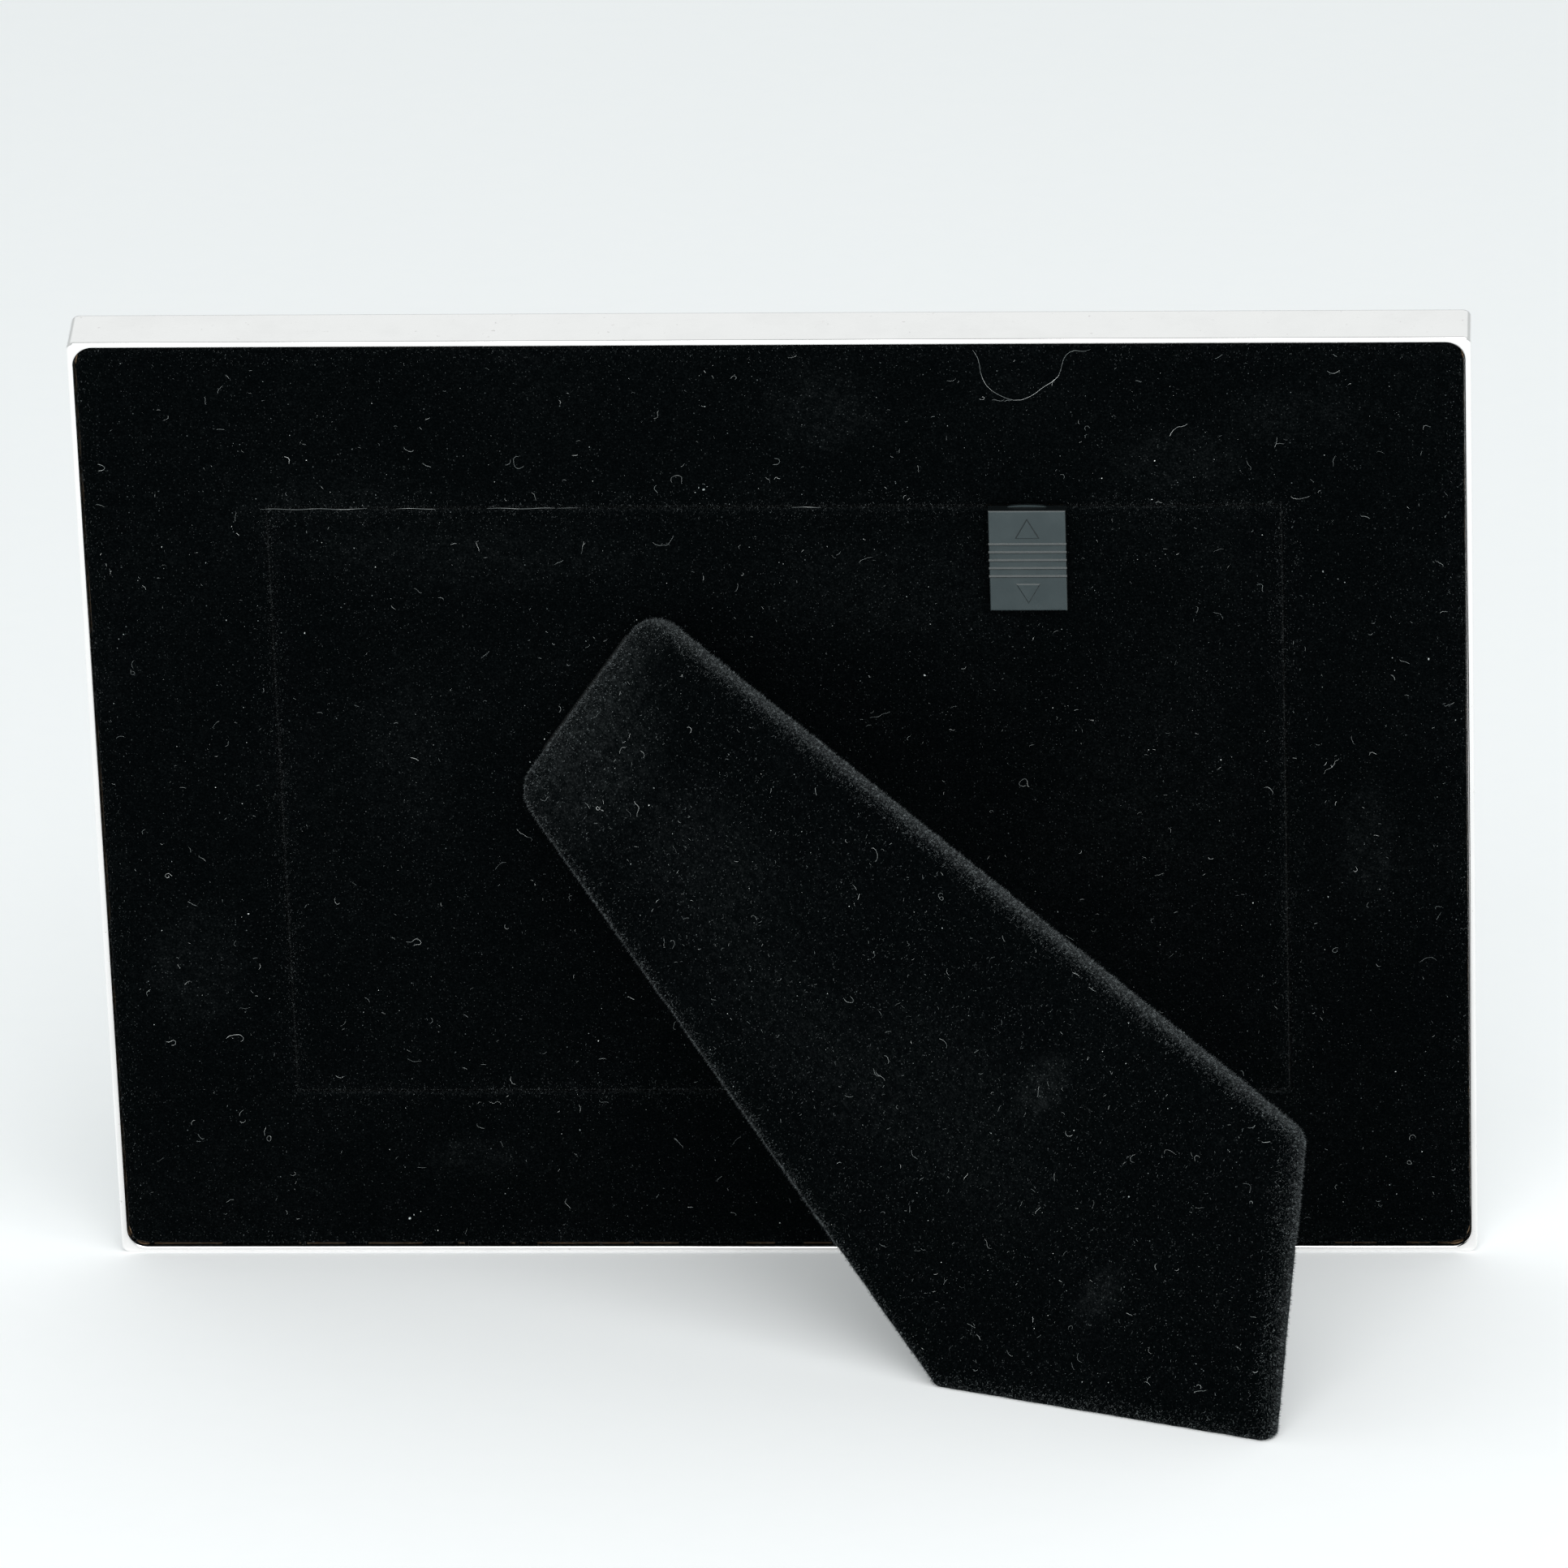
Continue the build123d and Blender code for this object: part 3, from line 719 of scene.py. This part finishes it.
def grow_fibres(sheet, body, number, bare, seed, longest):
    """Spikes on a sheet. bare is how many grow on a flat square for each one on a rolled edge."""
    random = np.random.default_rng(seed)
    mesh = sheet.data
    mesh.calc_loop_triangles()
    corners = read(mesh.loop_triangles, "vertices", 3, int)
    where = read(mesh.vertices, "co", 3, float)
    edge = read(mesh.attributes["edge"].data, "value", 1, float)[:, 0]
    a, b, c = (where[corners[:, i]] for i in range(3))
    across = np.cross(b - a, c - a)
    area = np.linalg.norm(across, axis=1)
    weight = area * (bare + edge[corners].mean(axis=1))
    pick = random.choice(len(corners), number, p=weight / weight.sum())
    s, t = random.random((2, number, 1))
    s, t = np.where(s + t > 1, 1 - s, s), np.where(s + t > 1, 1 - t, t)
    root = a[pick] + s * (b - a)[pick] + t * (c - a)[pick]
    normal = across[pick] / area[pick][:, None]
    lean = random.normal(0, 0.42, (number, 3)) + np.array(nap)
    way = normal + lean
    way /= np.linalg.norm(way, axis=1)[:, None]
    side = np.cross(way, random.normal(0, 1, (number, 3)))
    side /= np.linalg.norm(side, axis=1)[:, None]
    other = np.cross(way, side)
    length = longest * (0.35 + 0.65 * random.random((number, 1)) ** 1.5)
    thick = fibre_radius * (0.8 + 0.5 * random.random((number, 1)))
    tip = root + way * length
    low = root - way * 0.08 * mm
    ring = [low + thick * (side * cos(turn) + other * sin(turn)) for turn in (0, third, 2 * third)]
    clear = (tip[:, 2] > floor_clearance) & ~under_latch(tip)
    points = np.stack([*ring, tip], axis=1)[clear].reshape(-1, 3)
    first = 4 * np.arange(int(clear.sum()))[:, None]
    faces = (first + np.array([[0, 1, 3, 1, 2, 3, 2, 0, 3]])).reshape(-1, 3)
    name = sheet.name.replace("velvet_pile", "pile_fibres")
    made = build(name, points, faces.tolist(), Matrix.Identity(4), pile_fibre)
    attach(made, body)


# %% Fibres on the three velvet pieces
grow_fibres(back_pile, "frame", number=42000, bare=0.05, seed=11, longest=0.38 * mm)
grow_fibres(door_pile, "door", number=30000, bare=0.08, seed=12, longest=0.36 * mm)
grow_fibres(strut_pile, "strut", number=60000, bare=0.035, seed=13, longest=0.62 * mm)

# %% [markdown]
# ## Lint
#
# Black velvet holds on to every pale fibre that touches it. Most bits of lint are curls 1 to 4 mm
# long and finer than a hair. Each curl is a short curve whose direction drifts at random, lying on
# the tips of the pile. The lint of one panel is one object, so that it moves with its panel.

# %% Lint finish and the places where lint may lie
lint_finish = fibre_finish("lint_fibres", (0.24, 0.27, 0.27), (0.86, 0.9, 0.88), 3 * mm)


def on_back(x, y):
    free = abs(x) > door_half[0] + 0.6 * mm or abs(y) > door_half[1] + 0.6 * mm
    return free and abs(x) < back_half[0] - 1.5 * mm and abs(y) < back_half[1] - 1.5 * mm


def on_door(x, y):
    past_latch = x < latch_low.x - mm or x > latch_high.x + mm or y < latch_low.y - mm
    return past_latch and abs(x) < door_half[0] - 1.2 * mm and abs(y) < door_half[1] - 1.2 * mm


def on_strut(x, y):
    gaps = [(x - px) * nx + (y - py) * ny for (px, py), (nx, ny) in zip(outline, outline_out)]
    return max(gaps) < -1.6 * mm


def back_surface(x, y):
    return back_high.z - pile_height + nap_depth * nap_wave(x, y, back_seed)


def door_surface(x, y):
    return door_high.z - pile_height + nap_depth * nap_wave(x, y, door_seed)


Panel = namedtuple("Panel", "name body low high place allowed surface")
back_panel = Panel("back", "frame", back_low, back_high, back_place, on_back, back_surface)
door_panel = Panel("door", "door", door_low, door_high, back_place, on_door, door_surface)
strut_panel = Panel("strut", "strut", strut_low, strut_high, strut_place, on_strut, face_height)
print("panels for lint", back_panel.name, door_panel.name, strut_panel.name)

# %% Curls of lint


def curl(random, start, length, surface):
    """Points along one bit of lint, lying on a surface."""
    step = 0.16 * mm
    x, y = start
    heading = random.random() * 2 * pi
    bend = random.normal(0, 0.22)
    rise = 0.05 * mm + 0.2 * mm * random.random()
    found = []
    for i in range(max(4, int(length / step))):
        bend = 0.86 * bend + random.normal(0, 0.13)
        heading += bend
        x += step * cos(heading)
        y += step * sin(heading)
        height = surface(x, y) + 0.05 * mm + rise * (0.5 + 0.5 * sin(i * 0.5 + start[0] * 4000))
        found.append((x, y, height))
    return found


def strand_curve(name, strands, place):
    """One curve object holding many strands, each with its own thickness in metres."""
    data = bpy.data.curves.new(name, "CURVE")
    data.dimensions = "3D"
    data.bevel_depth = 1.0
    data.bevel_resolution = 1
    data.resolution_u = 2
    data.use_fill_caps = True
    for path, thick in strands:
        spline = data.splines.new("NURBS")
        spline.points.add(len(path) - 1)
        for i, (point, location) in enumerate(zip(spline.points, path)):
            point.co = (*(place @ Vector(location)), 1)
            point.radius = thick * (0.45 if i in (0, len(path) - 1) else 1)
        spline.order_u = 3
        spline.use_endpoint_u = True
    piece = bpy.data.objects.new(name, data)
    data.materials.append(lint_finish)
    scene.collection.objects.link(piece)
    print(name, len(strands), "strands")
    return piece


def scatter(random, panel):
    """A random place on a panel, and the surface's height there."""
    low, high = panel.low, panel.high
    while True:
        x = low.x + (high.x - low.x) * random.random()
        y = low.y + (high.y - low.y) * random.random()
        if panel.allowed(x, y):
            return x, y, panel.surface(x, y)


def lint_on(panel, number, seed, extra=()):
    """Random curls on one panel, with any listed strands."""
    random = np.random.default_rng(seed)
    strands = [(path, hair_radius) for path in extra]
    for _ in range(number):
        x, y, _height = scatter(random, panel)
        length = min(4.5 * mm, 0.9 * mm * np.exp(random.normal(0, 0.65)))
        path = curl(random, (x, y), length, panel.surface)
        if all(panel.allowed(px, py) for px, py, pz in path):
            strands.append((path, (0.008 + 0.009 * random.random()) * mm))
    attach(strand_curve(panel.name + "_lint", strands, panel.place), panel.body)


# %% A long hair near the top of the back, and threads in the door's upper seam
hair_radius = 0.016 * mm
hair_route = [
    (31.5, 79.5), (32.5, 78), (32.5, 75.5), (33.5, 73), (35.5, 71.5), (38, 70.5), (40.5, 71.5),
    (42, 73), (44.5, 74.5), (45, 76.5), (45.5, 78.5), (47, 79.5), (48.5, 79), (49.5, 79.5),
]
hair = [(u * mm, v * mm, back_surface(u * mm, v * mm) + 0.2 * mm) for u, v in hair_route]
seam_v = door_half[1] + 0.15 * mm
threads = [
    [((u + 1.5 * i) * mm, seam_v + 0.1 * mm * sin(1.3 * i), back_high.z) for i in range(count)]
    for u, count in ((-79, 12), (-58, 5), (-44, 8), (-33, 3), (3, 4))
]

lint_on(back_panel, number=340, seed=31, extra=[hair, *threads])
lint_on(door_panel, number=230, seed=32)
lint_on(strut_panel, number=270, seed=33)

# %% [markdown]
# ## Dust grains
#
# Dust is smaller than lint and nearly white. A grain is an icosahedron pulled out of shape, each in
# its own way.

# %% Grains of dust
golden = (1 + sqrt(5)) / 2
grain_corners = np.array(
    [(-1, golden, 0), (1, golden, 0), (-1, -golden, 0), (1, -golden, 0),
     (0, -1, golden), (0, 1, golden), (0, -1, -golden), (0, 1, -golden),
     (golden, 0, -1), (golden, 0, 1), (-golden, 0, -1), (-golden, 0, 1)]
) / hypot(1, golden)
grain_faces = np.array(
    [(0, 11, 5), (0, 5, 1), (0, 1, 7), (0, 7, 10), (0, 10, 11), (1, 5, 9), (5, 11, 4),
     (11, 10, 2), (10, 7, 6), (7, 1, 8), (3, 9, 4), (3, 4, 2), (3, 2, 6), (3, 6, 8),
     (3, 8, 9), (4, 9, 5), (2, 4, 11), (6, 2, 10), (8, 6, 7), (9, 8, 1)]
)


def dust_on(panel, number, seed, crumbs=()):
    """Random grains on one panel, and larger crumbs listed in millimetres."""
    random = np.random.default_rng(seed)
    spots = [(u * mm, v * mm, panel.surface(u * mm, v * mm), size * mm) for u, v, size in crumbs]
    for _ in range(number):
        size = min(0.11, 0.032 * np.exp(random.normal(0, 0.5))) * mm
        spots.append((*scatter(random, panel), size))
    points, faces = [], []
    for i, (x, y, z, size) in enumerate(spots):
        pulled = grain_corners * (0.6 + 0.8 * random.random((12, 1)))
        pulled = pulled * (0.6 + 0.8 * random.random(3))
        points.append(pulled * size + np.array([x, y, z + 0.06 * mm]))
        faces.append(grain_faces + 12 * i)
    points, faces = np.concatenate(points), np.concatenate(faces).tolist()
    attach(build(panel.name + "_dust", points, faces, panel.place, lint_finish), panel.body)


back_crumbs = [
    (84.5, 40.7, 0.14), (58.4, 53.4, 0.12), (-61.5, -75.5, 0.2), (-10.5, 55.4, 0.16),
    (-11.2, 55.7, 0.12), (-9.9, 55.9, 0.1), (-11.8, 54.9, 0.09), (-60.8, -74.9, 0.1),
]
door_crumbs = [(-73.2, 30.4, 0.15), (22.7, 22.6, 0.14), (-30.3, -42.9, 0.13), (-31.8, -41.6, 0.12)]
dust_on(back_panel, number=620, seed=41, crumbs=back_crumbs)
dust_on(door_panel, number=420, seed=42, crumbs=door_crumbs)
dust_on(strut_panel, number=360, seed=43)

# %% [markdown]
# ## Plated metal
#
# The tray is sheet metal with a bright silver-coloured plate. Such a surface is almost all
# reflection: its colour comes from the studio, and its finish from how clean the reflection is. So
# the base colour is a warm white, the roughness is low, and it varies a little where the polish has
# dulled. A very shallow bump stands for the unevenness that polishing leaves.

# %% Finish of the metal tray


def plated_metal():
    finish = Finish("plated_metal", {"Metallic": 1.0, "Specular IOR Level": 0.5})
    place = finish.place()
    haze = finish.noise(place, 9 * mm, detail=4, roughness=0.6)
    streaks = finish.noise(finish.vector("MULTIPLY", place, (1, 8, 8)), 3 * mm, detail=3)
    spots = finish.step(finish.noise(place, 0.8 * mm, detail=2), 0.7, 0.78)
    colour = finish.mix(finish.step(haze, 0.4, 0.75), (0.98, 0.965, 0.955), (0.945, 0.93, 0.92))
    finish.feed({
        "Base Color": finish.mix(spots * 0.5, colour, (0.62, 0.6, 0.57)),
        "Roughness": 0.09 + 0.07 * haze + 0.05 * streaks + 0.2 * spots,
        "Normal": finish.bump(haze, 0.02 * mm, 0.35),
    })
    return finish.material


def dress(node, material):
    """Gives a measured node its finish."""
    for socket in frame["nodes"][node].material_slots:
        socket.material = material
    print(node, "wears", material.name)


dress("metal_frame", plated_metal())

# %% [markdown]
# ## The latch
#
# The latch is moulded in dark grey plastic with a satin face. Its ridges and arrows are in the
# measured model already. The finish adds the mould's fine texture, a faint mottling, paler wear in
# patches, and a painted highlight on the faces that look up, such as the upper slopes of the ridges.
# The latch's sides stand in the pile's shade, so they are darker than its face.

# %% Finish of the latch


def satin_plastic():
    finish = Finish("grey_satin_plastic", {"Specular IOR Level": 0.3})
    place = finish.place()
    mould = finish.noise(place, 0.16 * mm, detail=2, roughness=0.6)
    flow = finish.noise(place, 4 * mm, detail=3)
    rubbed = finish.step(finish.noise(place, 0.9 * mm, detail=4, roughness=0.7), 0.62, 0.8)
    face = finish.mix(finish.step(flow, 0.3, 0.7), (0.03, 0.043, 0.046), (0.037, 0.051, 0.054))
    facing = finish.facing(outward)
    colour = finish.mix(finish.step(facing, 0.55, 0.95), (0.004, 0.0055, 0.006), face)
    # Painted highlight on faces that look up, such as the upper slopes of the ridges.
    painted_top_highlight = finish.step(finish.facing(up), 0.5, 0.8) * finish.step(facing, 0.3, 0.5)
    colour = finish.mix(painted_top_highlight * mould, colour, (0.1, 0.115, 0.115))
    finish.feed({
        "Base Color": finish.mix(rubbed * 0.3, colour, (0.05, 0.06, 0.06)),
        "Roughness": 0.3 + 0.1 * mould + 0.06 * rubbed,
        "Normal": finish.bump(mould, 0.008 * mm, 0.4),
    })
    return finish.material


plastic = satin_plastic()
for node in ("latch_button", "latch_tongue"):
    dress(node, plastic)

# %% [markdown]
# ## Steel of the hinge, the springs and the rivets
#
# The springs, the pin and the rivets are zinc plated. The plate is a bluish grey with a blurred
# shine and tiny crystals in it, which Voronoi cells give well. The hinge's two leaves are lacquered
# black, so that they don't shine out from behind the strut.

# %% Finish of the small steel parts


def zinc_steel():
    finish = Finish("zinc_plated_steel", {"Metallic": 1.0})
    place = finish.place()
    crystal_size = {"Vector": place, "Scale": 1 / (1.4 * mm)}
    crystal = finish.node("ShaderNodeTexVoronoi", {"feature": "F1"}, crystal_size, "Color")
    cell = finish.dot(crystal, (0.34, 0.33, 0.33))
    wear = finish.step(finish.noise(place, 2.5 * mm, detail=4, roughness=0.7), 0.5, 0.75)
    colour = finish.mix(cell, (0.5, 0.53, 0.56), (0.68, 0.7, 0.72))
    finish.feed({
        "Base Color": finish.mix(wear * 0.6, colour, (0.4, 0.4, 0.39)),
        "Roughness": 0.26 + 0.14 * cell + 0.16 * wear,
        "Normal": finish.bump(finish.noise(place, 0.5 * mm, detail=3), 0.02 * mm, 0.3),
    })
    return finish.material


def black_lacquer():
    """Black lacquer on the hinge, with bare steel where it is rubbed."""
    finish = Finish("black_lacquered_steel", {"Specular IOR Level": 0.35})
    place = finish.place()
    peel = finish.noise(place, 0.9 * mm, detail=3, roughness=0.6)
    chipped = finish.step(finish.noise(place, 1.8 * mm, detail=4, roughness=0.7), 0.66, 0.7)
    finish.feed({
        "Base Color": finish.mix(chipped, (0.006, 0.007, 0.007), (0.3, 0.31, 0.32)),
        "Metallic": chipped,
        "Roughness": 0.42 + 0.12 * peel - 0.1 * chipped,
        "Normal": finish.bump(peel, 0.03 * mm, 0.4),
    })
    return finish.material


steel, lacquer = zinc_steel(), black_lacquer()
for node in ("latch_rivet", "door_springs", "hinge_pin", "hinge_base_rivets", "strut_rivets"):
    dress(node, steel)
for node in ("hinge_base", "strut_leaf"):
    dress(node, lacquer)

# %% [markdown]
# ## Boards, cards and lining paper
#
# What is inside the frame shows only when the door is out. Fibreboard is brown with darker and
# paler chips, grey card has long fibres in it, and the spacer is brown corrugated card. The door and
# the strut are lined with black paper that has a fine leather-like grain.

# %% Finishes of the boards and papers


def fibreboard():
    finish = Finish("fibreboard", {"Roughness": 0.85, "Specular IOR Level": 0.2})
    place = finish.place()
    chips = finish.noise(place, 1.1 * mm, detail=5, roughness=0.7)
    cloud = finish.noise(place, 12 * mm, detail=2)
    dark = finish.mix(cloud, (0.16, 0.095, 0.05), (0.21, 0.135, 0.075))
    finish.feed({
        "Base Color": finish.mix(finish.step(chips, 0.35, 0.7), dark, (0.36, 0.25, 0.15)),
        "Normal": finish.bump(chips, 0.08 * mm, 0.5),
    })
    return finish.material


def card(name, dark, light, flute=0.0):
    """Pressed card. flute is how deep its corrugation shows, in metres."""
    finish = Finish(name, {"Roughness": 0.9, "Specular IOR Level": 0.15})
    place = finish.place()
    strands = finish.noise(finish.vector("MULTIPLY", place, (1, 5, 5)), 1.5 * mm, detail=4)
    flecks = finish.step(finish.noise(place, 0.5 * mm, detail=1), 0.68, 0.76)
    colour = finish.mix(strands, dark, light)
    normal = finish.bump(strands, 0.03 * mm, 0.5)
    if flute:
        wave = finish.node("ShaderNodeTexWave", {"bands_direction": "X"},
                           {"Vector": place, "Scale": 0.05 / mm, "Distortion": 0.3})
        normal = finish.bump(wave, flute, 0.6, over=normal)
    colour = finish.mix(flecks * 0.5, colour, (0.07, 0.06, 0.05))
    finish.feed({"Base Color": colour, "Normal": normal})
    return finish.material


def black_paper():
    finish = Finish("black_lining_paper", {"Specular IOR Level": 0.3})
    place = finish.place()
    cells = finish.node("ShaderNodeTexVoronoi", {"feature": "DISTANCE_TO_EDGE"},
                        {"Vector": place, "Scale": 1 / (0.7 * mm)})
    rubbed = finish.noise(place, 8 * mm, detail=5, roughness=0.65)
    wear_and_edge_sheen = finish.step(rubbed, 0.5, 0.8)
    finish.feed({
        "Base Color": finish.mix(wear_and_edge_sheen, (0.008, 0.009, 0.01), (0.03, 0.03, 0.031)),
        "Roughness": 0.62 + 0.2 * rubbed,
        "Normal": finish.bump(finish.step(cells, 0.0, 0.25), 0.05 * mm, 0.6),
    })
    return finish.material


board = fibreboard()
for node in ("filler_frame", "back_board", "door_board", "strut_board"):
    dress(node, board)
dress("backing_card", card("grey_card", (0.28, 0.27, 0.25), (0.42, 0.41, 0.38)))
dress("spacer_card", card("brown_corrugated_card", (0.3, 0.19, 0.1), (0.42, 0.29, 0.17), 0.3 * mm))
lining = black_paper()
dress("strut_lining", lining)
dress("door_lining", lining)

# %% [markdown]
# ## Glass and the picture
#
# The picture is a placeholder of the lesson's own: hills in the haze under an evening sky, made
# from bands of noise. The hills are drawn from the farthest to the nearest, each one a mask that is
# 1 below a wavy line. Only the front of the paper is printed, so the picture is kept to faces that
# look forwards.

# %% The printed picture


def printed_picture():
    low, high = reach_in("photo_insert", back_place)
    finish = Finish("photo_print", {"Roughness": 0.28, "Specular IOR Level": 0.5})
    place = finish.place()
    to_centre = finish.vector("SUBTRACT", place, tuple(back_origin))
    height = finish.dot(to_centre, up) / (high.y - low.y) + 0.5
    across = finish.dot(to_centre, -right) / (high.x - low.x) + 0.5
    sky = finish.node(
        "ShaderNodeValToRGB",
        {"stops": [(0.35, (0.85, 0.52, 0.3)), (0.6, (0.62, 0.56, 0.6)), (1.0, (0.16, 0.28, 0.52))]},
        {"Fac": height},
    )
    spread = finish.node("ShaderNodeCombineXYZ", {}, {0: across * 2.2, 1: height * 7, 2: 0.5})
    cloud = finish.step(finish.noise(spread, 1, detail=6, roughness=0.6), 0.52, 0.75)
    picture = finish.mix(cloud * 0.5, sky, (0.95, 0.8, 0.72))
    sun = finish.math("POWER", (across - 0.68) * 1.5, 2) + finish.math("POWER", height - 0.53, 2)
    picture = finish.mix(1 - finish.step(sun, 0.0008, 0.02), picture, (1.0, 0.88, 0.62))
    hills = [
        (0.50, 0.10, 2.6, (0.34, 0.36, 0.47)), (0.42, 0.12, 3.4, (0.2, 0.25, 0.34)),
        (0.32, 0.12, 4.4, (0.1, 0.15, 0.17)), (0.19, 0.10, 6.0, (0.035, 0.065, 0.05)),
    ]
    for i, (level, swing, often, colour) in enumerate(hills):
        along = finish.node("ShaderNodeCombineXYZ", {}, {0: across * often, 1: 3.7 * i + 1, 2: 0.0})
        line = level + (finish.noise(along, 1, detail=5, roughness=0.55) - 0.5) * (2 * swing)
        below = finish.step(line - height, 0.0, 0.006)
        leaves = finish.noise(place, 1.2 * mm, detail=4)
        shaded = finish.mix(leaves * 0.5, colour, tuple(min(1, x * 1.9) for x in colour))
        picture = finish.mix(below, picture, shaded)
    printed = finish.step(finish.facing(-outward), 0.4, 0.6)
    finish.feed({"Base Color": finish.mix(printed, (0.8, 0.79, 0.76), picture)})
    return finish.material


def window_glass():
    finish = Finish("clear_glass", {
        "Base Color": (0.97, 0.99, 0.98, 1),
        "Roughness": 0.0,
        "IOR": 1.5,
        "Transmission Weight": 1.0,
    })
    place = finish.place()
    finish.feed({"Normal": finish.bump(finish.noise(place, 40 * mm, detail=1), 0.01 * mm, 0.2)})
    return finish.material


dress("photo_insert", printed_picture())
dress("glass_pane", window_glass())

# %% [markdown]
# ## Floor, light and camera
#
# A product is often shown on pale paper inside a tent of soft light. A wide pale floor and an even
# bright surround do the same. A large softbox above and to the viewer's right gives the faint shadow
# to the left of the strut, and one near the camera lifts the velvet out of black. The top of the
# metal tray mirrors a third, weak one on the far side. The camera stands well back with a long lens,
# which keeps the frame's sides nearly parallel.

# %% The floor
floor_size = 30.0
floor_mesh = bpy.data.meshes.new("studio_floor")
corner_signs = ((-1, -1), (1, -1), (1, 1), (-1, 1))
floor_corners = [(x * floor_size, y * floor_size, 0) for x, y in corner_signs]
floor_mesh.from_pydata(floor_corners, [], [(0, 1, 2, 3)])
floor = bpy.data.objects.new("studio_floor", floor_mesh)
scene.collection.objects.link(floor)
floor_finish = Finish("pale_floor", {"Roughness": 0.85, "Specular IOR Level": 0.1})
floor_place = floor_finish.place()
paper = floor_finish.noise(floor_place, 6 * mm, detail=4)
floor_finish.feed({
    "Base Color": floor_finish.mix(paper, (0.83, 0.84, 0.845), (0.85, 0.86, 0.865)),
    "Emission Color": (0.94, 0.98, 0.98, 1),
    "Emission Strength": 0.15,
    "Normal": floor_finish.bump(paper, 0.02 * mm, 0.15),
})
floor.data.materials.append(floor_finish.material)
print("floor", 2 * floor_size, "m wide")

# %% The light
aim = Vector((0, 0, 0.07))


def softbox(name, place, width, height, power):
    """A rectangular area light at a place, turned to the middle of the frame."""
    light = bpy.data.lights.new(name, "AREA")
    light.shape = "RECTANGLE"
    light.size = width
    light.size_y = height
    light.energy = power
    lamp = bpy.data.objects.new(name, light)
    lamp.location = place
    lamp.rotation_euler = (aim - Vector(place)).to_track_quat("-Z", "Y").to_euler()
    scene.collection.objects.link(lamp)


softbox("key_softbox", (-0.4, 1.1, 1.4), 1.6, 1.0, 12.4)
softbox("front_softbox", (-0.1, 1.7, 0.9), 1.4, 1.0, 17.0)
softbox("far_softbox", (0, -1.25, 1.15), 2.2, 0.8, 1.6)
surround = bpy.data.worlds.new("studio_surround")
surround.use_nodes = True
backdrop = surround.node_tree.nodes["Background"].inputs
backdrop["Color"].default_value = (0.94, 0.985, 0.99, 1)
backdrop["Strength"].default_value = 0.61
scene.world = surround
scene.view_settings.view_transform = "Standard"

# %% The camera
heading = radians(3.453)
pitch = radians(16.954)
roll_angle = radians(-1.146)
eye = Vector((-0.12537, 2.04996, 0.7158))
look = Vector((sin(heading) * cos(pitch), -cos(heading) * cos(pitch), -sin(pitch)))
lens = bpy.data.cameras.new("camera")
lens.sensor_width = 36
lens.lens = 320.5
lens.clip_start = 0.05
lens.clip_end = 100
camera = bpy.data.objects.new("camera", lens)
camera.rotation_mode = "QUATERNION"
camera.location = eye
camera.rotation_quaternion = look.to_track_quat("-Z", "Y") @ Quaternion((0, 0, 1), roll_angle)
scene.collection.objects.link(camera)
scene.camera = camera
print("camera at", eye, "looking", look)
